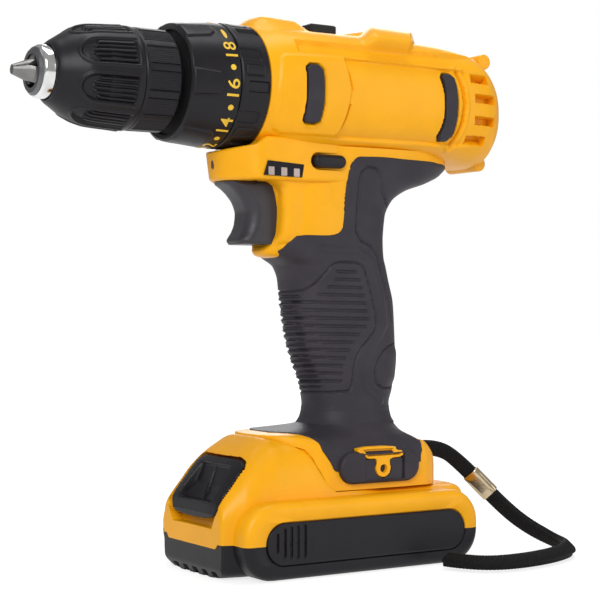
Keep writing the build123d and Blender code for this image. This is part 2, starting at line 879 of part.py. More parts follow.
# Handle as oval sections: level, centre, half depth and half width.
handle_half_width = 16.2
handle_stations = (
    (54.0, 16.0, 21.5, handle_half_width + 1.4),
    (66.0, 15.2, 20.4, handle_half_width - 0.5),
    (78.0, 15.0, 22.4, handle_half_width - 0.4),
    (90.0, 13.6, 25.0, handle_half_width - 0.2),
    (104.0, 11.6, 26.5, handle_half_width),
    (118.0, 9.6, 26.2, handle_half_width),
    (132.0, 7.4, 23.8, handle_half_width + 0.2),
    (144.0, 7.6, 22.4, handle_half_width + 0.6),
    (153.0, 8.8, 22.8, handle_half_width + 1.2),
    (160.0, 13.2, 25.4, handle_half_width + 1.8),
    (166.0, 22.0, 32.6, handle_half_width + 2.6),
    (172.0, 28.0, 37.4, handle_half_width + 3.6),
    (184.0, 29.5, 38.5, handle_half_width + 4.6),
)


def handle_form(inset, top=200):
    faces = []
    for level, centre, half_depth, half_width in handle_stations:
        if level <= top:
            with BuildSketch(Plane.XY.offset(level)) as section:
                with Locations((centre, 0)):
                    Ellipse(half_depth - inset, half_width - inset)
            faces.append(section.sketch.face())
    with BuildPart() as form:
        loft(sections=faces)
    return form.part


# Foot as the common part of its side, plan and front outlines.
band_outline = (
    (rail_front + 5, foot_low),
    (rail_front - 1, foot_side_top - 3),
    (rail_front - 4, foot_side_top + 1.5),
    (rail_front - 10, foot_side_top + 5.7),
    (band_front, foot_top - 5.6),
)


def foot_form(inset):
    with BuildPart() as form:
        with BuildSketch(Plane.XZ.offset(-foot_half_width)) as side:
            with BuildLine():
                Polyline(
                    *band_outline,
                    (band_front + 1, foot_top - 3.8),
                    (band_front + 8, foot_top - 2.2),
                    (rail_front + 4, foot_top),
                    (rail_front + 6, foot_top + 4),
                    (foot_rear - 13, foot_top + 4),
                    (foot_rear - 9, foot_top - 1.5),
                    (foot_rear - 3, foot_top - 5.5),
                    (foot_rear, foot_side_top + 4),
                    (foot_rear, foot_low),
                    close=True,
                )
            make_face()
            if inset:
                offset(amount=-inset, kind=Kind.INTERSECTION)
        extrude(side.sketch, amount=2 * foot_half_width)
        with BuildSketch(Plane.XY.offset(foot_low)) as plan:
            with BuildLine():
                front_corner = foot_half_width / 2
                Polyline(
                    (band_front, front_corner),
                    (rail_front - 12, foot_half_width - 5),
                    (rail_front + 2, foot_half_width),
                    (foot_rear - foot_corner, foot_half_width),
                    (foot_rear - foot_corner / 3, foot_half_width - foot_corner / 3),
                    (foot_rear, foot_half_width - foot_corner),
                    (foot_rear, -foot_half_width + foot_corner),
                    (foot_rear - foot_corner / 3, -foot_half_width + foot_corner / 3),
                    (foot_rear - foot_corner, -foot_half_width),
                    (rail_front + 2, -foot_half_width),
                    (rail_front - 12, -foot_half_width + 5),
                    (band_front, -front_corner),
                    close=True,
                )
            make_face()
            if inset:
                offset(amount=-inset, kind=Kind.INTERSECTION)
        extrude(plan.sketch, amount=foot_half_width * 2, mode=Mode.INTERSECT)
        with BuildSketch(across(band_front, 0)) as front:
            with BuildLine():
                half = (
                    (foot_half_width, foot_low),
                    (foot_half_width, foot_side_top),
                    (foot_half_width - 2, foot_side_top + 6),
                    (foot_half_width - 7, foot_side_top + 11),
                    (handle_half_width - 1, foot_top + 1),
                    (handle_half_width - 3, foot_top + 6),
                )
                mirrored = [(-y, z) for y, z in half[::-1]]
                Polyline(*half, *mirrored, close=True)
            make_face()
            if inset:
                offset(amount=-inset, kind=Kind.INTERSECTION)
        extrude(front.sketch, amount=foot_rear - band_front, mode=Mode.INTERSECT)
    return form.part


barrel_outer = barrel_form(0, housing_front)
barrel_inner = barrel_form(wall, housing_front + wall)
handle_outer = handle_form(0)
handle_core = handle_form(skin)
foot_outer = foot_form(0)
foot_core = foot_form(skin)

with BuildPart() as chin_form:
    with BuildSketch(Plane.XY.offset(chin_low)):
        with BuildLine():
            Polyline(
                (chin_front, chin_half_width - 11),
                (chin_front + 2.5, chin_half_width - 6),
                (chin_front + 9, chin_half_width - 1.4),
                (chin_front + 17, chin_half_width),
                (switch_rear, chin_half_width),
                (switch_rear, -chin_half_width),
                (chin_front + 17, -chin_half_width),
                (chin_front + 9, -chin_half_width + 1.4),
                (chin_front + 2.5, -chin_half_width + 6),
                (chin_front, -chin_half_width + 11),
                close=True,
            )
        make_face()
    extrude(amount=axis_height - mode_ring_radius - 1 - chin_low)
    # Behind the collar the chin joins the barrel.
    block(
        (housing_front, -chin_half_width, barrel_bottom - 2),
        (switch_rear, chin_half_width, barrel_bottom + 6),
    )
    chamfer(chin_form.faces().sort_by(Axis.Z)[0].outer_wire().edges(), 1.6)

guard_tip = trigger_low - 4.0
with BuildPart() as block_form:
    side_slab(
        (
            (block_front, chin_low + 1),
            (block_front, trigger_low + 1),
            (block_front - 8, trigger_low - 1.2),
            (block_front - 7, guard_tip),
            (block_front + 12, guard_tip - 2.5),
            (0, guard_tip - 2.5),
            (0, chin_low + 1),
        ),
        -block_half_width,
        block_half_width,
    )
    chamfer(
        block_form.edges().filter_by(Axis.Z).group_by(Axis.X)[0]
        + block_form.faces().sort_by(Axis.Z)[0].edges().filter_by(Axis.X),
        2.5,
    )

# ---------------------------------------------------------------- openings in the shell
switch_front = -12.0
terminal_low = rail_high + 0.6
terminal_high = 50.0
terminal_front = 20.0
terminal_rear = foot_rear - wall - 0.4
terminal_half_width = 15.0
handle_floor = terminal_high + 1.2
screw_head_seat = 8.0
screw_places = (
    (75.5, axis_height + motor_radius),
    (73.5, barrel_bottom + 0.5),
    (30.0, barrel_bottom - 8.5),
    (13.0, 100.0),
    (13.0, handle_floor + boss_radius + 0.6),
    (block_front + 2, chin_low + 6.5),
)
slot_rear = speed_slot_front + speed_button_length + speed_travel + 2 * moving_gap
motor_rib_stations = (slot_rear + speed_flange + 2, motor_rear - 12, bell_rear - 8)

with BuildPart() as barrel_cavity:
    add(barrel_inner)
    for station in motor_rib_stations:
        with BuildSketch(across(station)) as rib:
            Rectangle(4 * barrel_half_width, 4 * barrel_half_width)
        extrude(rib.sketch, amount=rib_width, mode=Mode.SUBTRACT)
    turn_ring(
        motor_front,
        bell_rear + moving_gap,
        0,
        motor_radius + fitting_gap,
    )
    turn_ring(housing_front + wall, motor_front, 0, case_radius + fitting_gap)
    for x, z in screw_places[:2]:
        cross_pin(x, z, boss_radius, -barrel_half_width, barrel_half_width, mode=Mode.SUBTRACT)

with BuildPart() as handle_cavity:
    add(handle_form(skin + handle_wall, top=150))
    block((-80, -80, 0), (120, 80, handle_floor), mode=Mode.SUBTRACT)
    block((-80, -80, switch_low - 3), (120, 80, 300), mode=Mode.SUBTRACT)
    for x, z in screw_places[3:5]:
        cross_pin(x, z, boss_radius, -barrel_half_width, barrel_half_width, mode=Mode.SUBTRACT)

# Soft skin region: behind the switch block and above the foot's band.
with BuildPart() as skin_region:
    side_slab(
        (
            (band_front - 10, foot_top - 2.6),
            (band_front + 7, foot_top - 4.0),
            (rail_front - 4, foot_side_top + 6.5),
            (rail_front, foot_side_top + 2.5),
            (rail_front + 5, foot_side_top - 4),
            (rail_front + 9, foot_side_top - 5),
            (foot_rear - 12, foot_side_top - 5),
            (foot_rear - 12, foot_side_top + 4),
            (barrel_rear, foot_side_top + 4),
            (barrel_rear, barrel_bottom + 1),
            (4, barrel_bottom + 1),
            (3, 156),
            (1, 149),
            (-5, 142.5),
            (-20, 142.5),
            (-23.5, 139.5),
            (block_front + 4, guard_tip + 1),
            (2 * band_front, guard_tip + 1),
        ),
        -2 * foot_half_width,
        2 * foot_half_width,
    )

with BuildPart() as skin_form:
    add(handle_outer)
    add(foot_outer)
    add(skin_region.part, mode=Mode.INTERSECT)
    add(handle_core, mode=Mode.SUBTRACT)
    add(foot_core, mode=Mode.SUBTRACT)
    add(barrel_outer, mode=Mode.SUBTRACT)
    add(chin_form.part, mode=Mode.SUBTRACT)

with BuildPart() as housing_form:
    add(barrel_outer)
    add(chin_form.part)
    add(block_form.part)
    add(handle_outer)
    add(foot_outer)
    for x, z in screw_places[:2]:
        cross_pin(x, z, boss_radius, -screw_head_seat - 5, screw_head_seat + 5)
    # Lug for the wrist strap.
    side_slab(
        (
            (foot_rear - 2, lug_low),
            (foot_rear + lug_reach - 2, lug_low),
            (foot_rear + lug_reach - 2, lug_low + 4),
            (foot_rear + lug_reach, lug_low + 8.5),
            (foot_rear + lug_reach - 2, lug_top - 4),
            (foot_rear + lug_reach - 6, lug_top),
            (foot_rear - 2, lug_top),
        ),
        -lug_width / 2,
        lug_width / 2,
    )
    add(skin_form.part, mode=Mode.SUBTRACT)

# Raised pads on top of the barrel: the setting mark at the front and a saddle behind.
pointer_rear = housing_front + 28
with BuildPart() as top_pads:
    side_slab(
        (
            (housing_front + 4, axis_height + case_radius),
            (housing_front + 4, barrel_top - 1),
            (housing_front + 10, pad_top - 0.7),
            (pointer_rear - 4, pad_top - 1),
            (pointer_rear, barrel_top - 1),
            (pointer_rear, axis_height + case_radius),
        ),
        -10,
        10,
    )
    with BuildPart() as saddle:
        with BuildSketch(across(saddle_front - 8, (pad_top + axis_height) / 2)):
            RectangleRounded(2 * barrel_half_width - 2, pad_top - axis_height, barrel_rounding + 1)
        extrude(amount=saddle_rear - saddle_front + 8)
        with BuildSketch(Plane.XY.offset(barrel_top - 10)):
            with BuildLine():
                Polyline(
                    (saddle_front, 0),
                    (saddle_front - 8, saddle_half_width),
                    (saddle_rear - 13, saddle_half_width),
                    (saddle_rear, 0),
                    (saddle_rear - 13, -saddle_half_width),
                    (saddle_front - 8, -saddle_half_width),
                    close=True,
                )
            make_face()
        extrude(amount=barrel_rounding, mode=Mode.INTERSECT)

# ---------------------------------------------------------------- side features
side_face = barrel_half_width - 0.7


# Calls a cutter with the low and high y of a layer on each side of the body.
def both_sides(near, far):
    return ((-far, -near), (near, far))


# Bowed bumper outline between two levels, leaning outwards at its middle.
def bumper_outline(front, rear, low, high, bow):
    middle = (low + high) / 2
    with BuildLine() as outline:
        front_side = ThreePointArc((front, low), (front - bow, middle), (front, high))
        rear_side = ThreePointArc((rear, low), (rear + bow, middle), (rear, high))
        Line(front_side @ 0, rear_side @ 0)
        Line(front_side @ 1, rear_side @ 1)
    with BuildSketch() as face:
        add(make_face(outline.edges(), mode=Mode.PRIVATE))
        fillet(face.vertices(), 2.0)
    return face.sketch


panel_low = axis_height - 21.5
panel_high = axis_height + 13.0
panel_front = -3.4
panel_rear = 64.0
bumper_proud = 0.9
bumpers = (
    bumper_outline(-24.0, -15.0, 187.0, 211.0, 1.2),
    bumper_outline(45.5, 54.5, 183.5, 212.5, 1.4),
)


# Places a side sketch on a plane at y and extrudes it towards -Y.
def side_extrude(sketch, y_low, y_high, mode=Mode.ADD):
    placed = Plane.XZ.offset(-y_high) * sketch
    extrude(placed, amount=y_high - y_low, mode=mode)


# Seats round the hook holes, standing out of the foot's sides to a level.
def hook_seats(level):
    with BuildPart() as seats:
        for y_low, y_high in both_sides(foot_half_width - 4, level):
            with BuildSketch(Plane.XZ.offset(-y_high)):
                with Locations((hook_x - 3.5, foot_side_top + 4.3)):
                    Rectangle(20, 2.4)
                with Locations((hook_x - 1.5, foot_side_top + 2.2)):
                    Rectangle(24, 2.2)
                with Locations((hook_x, hook_z + 3)):
                    Rectangle(5.4, 4)
                with Locations((hook_x, hook_z)):
                    Circle(hook_boss_radius)
            extrude(amount=y_high - y_low)
    return seats.part


socket_face = foot_half_width + socket_depth
hook_seat_form = hook_seats(socket_face - 0.3)

with BuildPart() as socket_form:
    for y_low, y_high in both_sides(foot_half_width - 6, socket_face):
        with BuildSketch(Plane.XZ.offset(-y_high)):
            with Locations((hook_x - 1.3, hook_z + 0.8)):
                SlotOverall(socket_length, socket_height)
            with Locations((hook_x + 10.5, hook_z + 0.8)):
                Rectangle(0.9, 2 * socket_height, mode=Mode.SUBTRACT)
        extrude(amount=y_high - y_low)
    add(foot_outer, mode=Mode.SUBTRACT)
    add(hook_seats(socket_face + 1), mode=Mode.SUBTRACT)

with BuildPart() as side_panels:
    for y_low, y_high in both_sides(side_face, barrel_half_width + 2):
        with BuildSketch(Plane.XZ.offset(-y_high)):
            with BuildLine():
                Polyline(
                    (panel_front, panel_low),
                    (panel_rear, panel_low),
                    (panel_rear + 12, panel_low + 7),
                    (panel_rear + 15, axis_height - 4),
                    (panel_rear + 12, panel_high - 8),
                    (panel_rear, panel_high),
                    (panel_front, panel_high),
                    close=True,
                )
            make_face()
        extrude(amount=y_high - y_low)

with BuildPart() as vent_slots:
    for y_low, y_high in both_sides(fan_radius + 0.5, barrel_half_width + 2):
        with BuildSketch(Plane.XZ.offset(-y_high)):
            with Locations((76.5, axis_height - 4.2)):
                with GridLocations(0, 9.2, 1, 4):
                    SlotOverall(12.6, 3.0)
        extrude(amount=y_high - y_low)

with BuildPart() as screw_holes:
    for x, z in screw_places:
        cross_pin(x, z, screw_head + fitting_gap, screw_head_seat, 3 * foot_half_width)
        shank_end = screw_head_seat + screw_head_depth - housing_screw_length - 1
        cross_pin(x, z, screw_radius + fitting_gap / 2, shank_end, screw_head_seat)

with BuildPart() as shell_openings:
    turn_ring(housing_front - 1, housing_front + wall, 0, case_land_radius + fitting_gap)
    turn_ring(
        housing_front + wall,
        housing_front + wall + case_flange_width + 2 * fitting_gap,
        0,
        case_flange_radius + fitting_gap,
    )
    # Speed switch slot in the top.
    block(
        (speed_slot_front, -speed_button_width / 2 - moving_gap, axis_height + case_radius),
        (slot_rear, speed_button_width / 2 + moving_gap, barrel_top + 5),
    )
    # Trigger pocket, switch pocket and plunger way.
    block(
        (2 * chin_front, -trigger_half_width - moving_gap, trigger_low - moving_gap),
        (switch_front, trigger_half_width + moving_gap, chin_low - 0.2),
    )
    block(
        (switch_front - 1, -switch_half_width - fitting_gap, switch_low - fitting_gap),
        (switch_rear + fitting_gap, switch_half_width + fitting_gap, chin_low - 0.2),
    )
    # Battery guide: a neck between two ledges with a wider way above them.
    guide_rear = rail_rear + moving_gap
    block(
        (3 * band_front, -rail_neck_half_width - moving_gap, foot_low - 1),
        (guide_rear, rail_neck_half_width + moving_gap, rail_high + moving_gap),
    )
    block(
        (3 * band_front, -rail_half_width - moving_gap, rail_low - moving_gap),
        (guide_rear, rail_half_width + moving_gap, rail_high + moving_gap),
    )
    block(
        (terminal_front - fitting_gap, -terminal_half_width - fitting_gap, rail_high),
        (terminal_rear + fitting_gap, terminal_half_width + fitting_gap, terminal_high + fitting_gap),
    )
    # Wire way from the terminals up the handle and on to the switch.
    block((terminal_front + 1, -5, terminal_high - 1), (terminal_front + 7, 5, handle_floor + 1))
    block((0, -5, switch_low - 5), (14, 5, switch_low))
    # Work light and the strap's seat in the lug.
    with BuildSketch(across(chin_front - 1, light_height)) as light_bore:
        Circle(light_radius + fitting_gap / 2)
    extrude(light_bore.sketch, amount=9)
    lug_rear = foot_rear + lug_reach
    with BuildSketch(across(lug_rear - 5, lug_top - 5)) as strap_bore:
        Circle(strap_radius + fitting_gap)
    extrude(strap_bore.sketch, amount=8)
    # Forward and reverse button way across the chin.
    with BuildSketch(Plane.XZ.offset(-foot_half_width)) as button_way:
        with Locations((button_centre, button_level)):
            SlotOverall(button_length + 2 * moving_gap, button_height + 2 * moving_gap)
    extrude(button_way.sketch, amount=2 * foot_half_width)
    for y_low, y_high in both_sides(socket_face - hook_hole_depth, socket_face + 1):
        cross_pin(hook_x, hook_z, hook_hole_radius, y_low, y_high)

window_outline = (
    (chin_front + 17.5, chin_low + 1.7),
    (chin_front + 19.5, chin_low + 7.8),
    (chin_front + 37, chin_low + 6.8),
    (chin_front + 36, chin_low + 1.3),
)
with BuildPart() as window_recess:
    side_slab(window_outline, -chin_half_width - 1, -chin_half_width + window_thickness)

with BuildPart() as chin_cavity:
    block(
        (chin_front + 10, -chin_half_width + wall + 1.5, chin_low + 2),
        (button_centre - button_length, chin_half_width - wall - 1.5, axis_height - mode_ring_radius - 3.5),
    )
    x, z = screw_places[5]
    cross_pin(x, z, boss_radius, -barrel_half_width, barrel_half_width, mode=Mode.SUBTRACT)

with BuildPart() as bumper_form:
    for outline in bumpers:
        for y_low, y_high in both_sides(side_face, side_face + bumper_proud):
            side_extrude(outline, y_low, y_high)

with BuildPart() as housing_whole:
    add([housing_form.part, hook_seat_form, top_pads.part])
    add(
        [
            barrel_cavity.part,
            handle_cavity.part,
            shell_openings.part,
            side_panels.part,
            vent_slots.part,
            window_recess.part,
            chin_cavity.part,
            screw_holes.part,
            bumper_form.part,
        ],
        mode=Mode.SUBTRACT,
    )

with BuildPart() as grip_whole:
    add([skin_form.part, bumper_form.part])
    add([hook_seat_form, shell_openings.part, screw_holes.part], mode=Mode.SUBTRACT)

for side in ("left", "right"):
    for whole, name in ((housing_whole, "housing"), (grip_whole, "grip"), (socket_form, "hook_socket")):
        with BuildPart() as half:
            add(whole.part)
            keep_half(side)
        write(half, f"{name}_{side}")

with BuildPart() as housing_screws:
    for x, z in screw_places:
        cross_pin(x, z, screw_head, screw_head_seat, screw_head_seat + screw_head_depth)
        shank_end = screw_head_seat + screw_head_depth - housing_screw_length
        cross_pin(x, z, screw_radius, shank_end, screw_head_seat)
        with BuildSketch(Plane.XZ.offset(-screw_head_seat - screw_head_depth)) as drive:
            with Locations((x, z)):
                RegularPolygon(radius=1.5, side_count=6)
        extrude(drive.sketch, amount=1.2, mode=Mode.SUBTRACT)
write(housing_screws, "housing_screws")

# ---------------------------------------------------------------- controls
with BuildPart() as trigger:
    trigger_high = chin_low - 0.7
    plunger_level = (trigger_low + chin_low) / 2
    with BuildSketch(Plane.XZ.offset(-trigger_half_width)) as outline:
        with BuildLine():
            face_curve = ThreePointArc(
                (block_front - 18.8, trigger_high - 0.5),
                (block_front - 9.7, plunger_level - 2.2),
                (block_front - 14.2, trigger_low + 0.3),
            )
            Polyline(
                face_curve @ 1,
                (block_front - 11.5, trigger_low),
                (switch_front - trigger_travel - 2, trigger_low),
                (switch_front - trigger_travel - 2, trigger_high),
                (block_front - 17.2, trigger_high),
                face_curve @ 0,
            )
        make_face()
    extrude(outline.sketch, amount=2 * trigger_half_width)
    finger_edges = trigger.edges().filter_by(GeomType.CIRCLE).filter_by_position(
        Axis.X, 3 * block_front, block_front
    )
    fillet(finger_edges, 2.6)
    with BuildSketch(across(switch_front - trigger_travel - 2, plunger_level)):
        Circle(plunger_radius)
    extrude(amount=trigger_travel + 5)
write(trigger, "trigger")

with BuildPart() as switch_module:
    block(
        (switch_front, -switch_half_width, switch_low),
        (switch_rear, switch_half_width, chin_low - 0.5),
    )
    with BuildSketch(across(switch_front, plunger_level)) as plunger_bore:
        Circle(plunger_radius + running_gap)
    extrude(plunger_bore.sketch, amount=trigger_travel + 5, mode=Mode.SUBTRACT)
write(switch_module, "switch_module")

with BuildPart() as direction_button:
    half_reach = chin_half_width + button_travel - 0.8
    with BuildSketch(Plane.XZ.offset(-half_reach)):
        with Locations((button_centre, button_level)):
            SlotOverall(button_length, button_height)
    extrude(amount=2 * half_reach)
    end_edges = direction_button.faces().sort_by(Axis.Y)[0].edges()
    end_edges += direction_button.faces().sort_by(Axis.Y)[-1].edges()
    fillet(end_edges, 0.8)
write(direction_button, "direction_button")

with BuildPart() as speed_switch:
    speed_front = speed_slot_front + moving_gap
    flange_low = axis_height + case_radius + 0.4
    flange_high = flange_low + 1.2
    block(
        (speed_front, -speed_button_width / 2, flange_low),
        (speed_front + speed_button_length, speed_button_width / 2, speed_top),
    )
    chamfer(speed_switch.faces().sort_by(Axis.Z)[-1].edges(), 0.6)
    block(
        (speed_front - speed_flange, -speed_button_width / 2 - speed_flange, flange_low),
        (
            speed_front + speed_button_length + speed_flange,
            speed_button_width / 2 + speed_flange,
            flange_high,
        ),
    )
    with BuildSketch(Plane.XY.offset(speed_top - 0.7)) as ridges:
        with Locations((speed_front + speed_button_length / 2, 0)):
            with GridLocations(2.4, 0, 4, 1):
                Rectangle(1.0, speed_button_width - 4)
    extrude(ridges.sketch, amount=2, mode=Mode.SUBTRACT)
write(speed_switch, "speed_switch")

with BuildPart() as work_light:
    with BuildSketch(across(chin_front - 0.2, light_height)):
        Circle(light_radius)
    extrude(amount=7)
    fillet(work_light.faces().sort_by(Axis.X)[0].edges(), 1.0)
write(work_light, "work_light")

with BuildPart() as charge_window:
    with BuildSketch(Plane.XZ.offset(chin_half_width - window_thickness)) as pane:
        with BuildLine():
            Polyline(*window_outline, close=True)
        make_face()
        offset(amount=-fitting_gap, kind=Kind.INTERSECTION)
    extrude(pane.sketch, amount=window_thickness)
write(charge_window, "charge_window")

with BuildPart() as terminal_block:
    block(
        (terminal_front, -terminal_half_width, terminal_low),
        (terminal_rear, terminal_half_width, terminal_high),
    )
    # Contact blades hang into the battery's slots.
    for index in range(blade_count):
        y = (index - (blade_count - 1) / 2) * blade_pitch
        block(
            (terminal_rear - 14, y - blade_half_width, rail_low + 0.5),
            (terminal_rear - 4, y + blade_half_width, terminal_low),
        )
write(terminal_block, "terminal_block")

# ---------------------------------------------------------------- battery
hood_top = band_outline[-1][1] - 0.9
hood_rear_line = [(x - battery_gap, z - 0.3) for x, z in band_outline]

with BuildPart() as battery_form:
    with BuildSketch(Plane.XZ.offset(-battery_half_width)) as side:
        with BuildLine():
            Polyline(
                (battery_front + 4, 0),
                (battery_front, 5),
                (battery_front, battery_deck - 4.5),
                (battery_front + 4, battery_deck + 4),
                (battery_front + 11, foot_side_top),
                (battery_front + 17, foot_side_top + 5.5),
                (band_front - battery_gap, hood_top),
                hood_rear_line[3],
                hood_rear_line[2],
                hood_rear_line[1],
                (hood_rear_line[0][0], battery_deck),
                (battery_rear - 2, battery_deck),
                (battery_rear - 2, 0),
                close=True,
            )
        make_face()
    extrude(side.sketch, amount=2 * battery_half_width)
    with BuildSketch(across(battery_front, 0)) as front:
        with BuildLine():
            half = (
                (battery_half_width - 2, 0),
                (battery_half_width, 3),
                (battery_half_width, battery_deck + 1),
                (battery_half_width - 2, foot_side_top),
                (battery_half_width - 7, foot_side_top + 6),
                (battery_half_width - 13, hood_top + 1),
            )
            Polyline(*half, *[(-y, z) for y, z in half[::-1]], close=True)
        make_face()
    extrude(front.sketch, amount=battery_rear - battery_front, mode=Mode.INTERSECT)
    with BuildSketch() as plan:
        with BuildLine():
            corner = 10.0
            half = (
                (battery_front, battery_half_width - corner),
                (battery_front + corner * 0.3, battery_half_width - corner * 0.3),
                (battery_front + corner, battery_half_width),
                (battery_rear, battery_half_width),
            )
            Polyline(*half, *[(x, -y) for x, y in half[::-1]], close=True)
        make_face()
    extrude(plan.sketch, amount=foot_top, mode=Mode.INTERSECT)
    # Rounded side bulges hold the ends of the cells.
    with BuildSketch(Plane.XZ.offset(-bulge_half_width)) as bulge:
        with Locations(((battery_front + battery_rear) / 2 + 0.8, bulge_top / 2)):
            RectangleRounded(battery_rear - battery_front - 1.6, bulge_top, bulge_corner)
    extrude(bulge.sketch, amount=2 * bulge_half_width)
    rim = battery_form.faces().sort_by(Axis.Y)[0].edges() + battery_form.faces().sort_by(Axis.Y)[-1].edges()
    fillet(rim, bulge_edge)

cell_room = cell_count * cell_pitch / 2 + 0.5
with BuildPart() as battery_room:
    block(
        (-cell_room, -cell_length / 2 - 1.5, battery_wall),
        (cell_room, cell_length / 2 + 1.5, cell_height + cell_radius + 1.5),
    )
    # Electronics room over the cells.
    block(
        (battery_front + 18, -battery_half_width + wall, cell_height + cell_radius),
        (battery_rear - 6, battery_half_width - wall, battery_deck - battery_wall),
    )

with BuildPart() as rail_form:
    block(
        (rail_front, -rail_neck_half_width, battery_deck - 2),
        (rail_rear, rail_neck_half_width, rail_high),
    )
    block(
        (rail_front, -rail_half_width, rail_low),
        (rail_rear, rail_half_width, rail_high),
    )

with BuildPart() as blade_slots:
    for index in range(blade_count):
        y = (index - (blade_count - 1) / 2) * blade_pitch
        block(
            (terminal_rear - 15, y - blade_half_width - 0.6, battery_deck + 1),
            (rail_rear + 1, y + blade_half_width + 0.6, rail_high + 1),
        )

release_room_rear = battery_front + release_depth + 10
with BuildPart() as release_window:
    with BuildSketch(across(2 * battery_front)):
        with BuildLine():
            half = (
                (release_half_width - 4, release_low - axis_height),
                (release_half_width, release_low + 8.5 - axis_height),
                (release_half_width - 3, release_high - 4 - axis_height),
                (release_half_width - 7, release_high - axis_height),
            )
            Polyline(*half, *[(-y, z) for y, z in half[::-1]], close=True)
        make_face()
    extrude(amount=release_room_rear - 2 * battery_front)

with BuildPart() as pad_form:
    for y_low, y_high in both_sides(bulge_half_width - pad_depth, bulge_half_width + pad_proud):
        with BuildSketch(Plane.XZ.offset(-y_high)):
            with Locations(((pad_front + pad_rear) / 2, (pad_low + pad_high) / 2)):
                SlotOverall(pad_rear - pad_front, pad_high - pad_low)
        extrude(amount=y_high - y_low)

with BuildPart() as battery_screw_holes:
    battery_screw_places = (
        (battery_front + 9.0, 20.0),
        (battery_front + 9.0, -20.0),
        (battery_rear - 9.0, 20.0),
        (battery_rear - 9.0, -20.0),
    )
    with BuildSketch() as heads:
        with Locations(*battery_screw_places):
            Circle(screw_head + fitting_gap)
    extrude(heads.sketch, amount=screw_head_depth + 1)
    with BuildSketch() as shanks:
        with Locations(*battery_screw_places):
            Circle(screw_radius + fitting_gap / 2)
    extrude(shanks.sketch, amount=parting_height + 6)

with BuildPart() as battery_tray:
    add(battery_form.part)
    block((-100, -60, parting_height), (100, 60, 100), mode=Mode.SUBTRACT)
    add(
        [battery_room.part, release_window.part, pad_form.part, battery_screw_holes.part],
        mode=Mode.SUBTRACT,
    )
write(battery_tray, "battery_tray")

with BuildPart() as battery_cover:
    add([battery_form.part, rail_form.part])
    block((-100, -60, -1), (100, 60, parting_height), mode=Mode.SUBTRACT)
    add(
        [
            battery_room.part,
            release_window.part,
            pad_form.part,
            battery_screw_holes.part,
            blade_slots.part,
        ],
        mode=Mode.SUBTRACT,
    )
write(battery_cover, "battery_cover")

for side in ("left", "right"):
    with BuildPart() as battery_pad:
        add(pad_form.part)
        keep_half(side)
    write(battery_pad, f"battery_pad_{side}")

with BuildPart() as release_button:
    with BuildSketch(Plane.XZ.offset(-release_half_width)) as side:
        with BuildLine():
            Polyline(
                (battery_front + 4.5, release_low),
                (battery_front + 0.6, release_low + 7.5),
                (battery_front + 1.4, release_low + 9),
                (battery_front + 17.5, release_high),
                (battery_front + release_depth + 6.5, release_high),
                (battery_front + release_depth + 6.5, release_low + 6),
                (battery_front + release_depth - 1, release_low + 3),
                close=True,
            )
        make_face()
    extrude(side.sketch, amount=2 * release_half_width)
    with BuildSketch(across(battery_front, 0)) as front:
        with BuildLine():
            half = (
                (release_half_width - 4, release_low + moving_gap),
                (release_half_width - moving_gap, release_low + 8.5),
                (release_half_width - 3 - moving_gap, release_high - 4),
                (release_half_width - 7, release_high - moving_gap),
            )
            Polyline(*half, *[(-y, z) for y, z in half[::-1]], close=True)
        make_face()
    extrude(front.sketch, amount=24, mode=Mode.INTERSECT)
    # Finger recess under the upper rim.
    side_slab(
        (
            (battery_front - 5, release_low + 10.5),
            (battery_front + 10, release_low + 12.5),
            (battery_front + 16, release_high - 4),
            (battery_front - 5, release_high - 4),
        ),
        -release_half_width + 7,
        release_half_width - 7,
        mode=Mode.SUBTRACT,
    )
write(release_button, "release_button")

with BuildPart() as battery_cells:
    with BuildSketch(Plane.XZ.offset(-cell_length / 2)) as cells:
        with Locations((0, cell_height)):
            with GridLocations(cell_pitch, 0, cell_count, 1):
                Circle(cell_radius)
    extrude(cells.sketch, amount=cell_length)
write(battery_cells, "battery_cells")

board_level = cell_height + cell_radius + 1.9
board_half_width = battery_half_width - 5
with BuildPart() as cell_holder:
    for y_low, y_high in both_sides(board_half_width - 3, board_half_width):
        block(
            (-cell_room + 0.2, y_low, battery_wall + fitting_gap),
            (cell_room - 0.2, y_high, cell_height + cell_radius - 1),
        )
    with BuildSketch(Plane.XZ.offset(-cell_length)) as cells:
        with Locations((0, cell_height)):
            with GridLocations(cell_pitch, 0, cell_count, 1):
                Circle(cell_radius + fitting_gap)
    extrude(cells.sketch, amount=2 * cell_length, mode=Mode.SUBTRACT)
    # Posts between the cells carry the board.
    for y_low, y_high in both_sides(board_half_width - 3, board_half_width):
        for x in (-1.5 * cell_pitch, 1.5 * cell_pitch):
            block(
                (x - 1.5, y_low, cell_height + cell_radius - 2),
                (x + 1.5, y_high, board_level - fitting_gap),
            )
write(cell_holder, "cell_holder")

with BuildPart() as protection_board:
    block((-1.6 * cell_pitch, -board_half_width, board_level), (rail_rear - 4, board_half_width, board_level + 1.6))
write(protection_board, "protection_board")

with BuildPart() as battery_screws:
    with BuildSketch(Plane.XY.offset(screw_head_depth + 1)) as shanks:
        with Locations(*battery_screw_places):
            Circle(screw_radius)
    extrude(shanks.sketch, amount=parting_height)
    with BuildSketch(Plane.XY.offset(1)) as heads:
        with Locations(*battery_screw_places):
            Circle(screw_head)
    extrude(heads.sketch, amount=screw_head_depth)
write(battery_screws, "battery_screws")

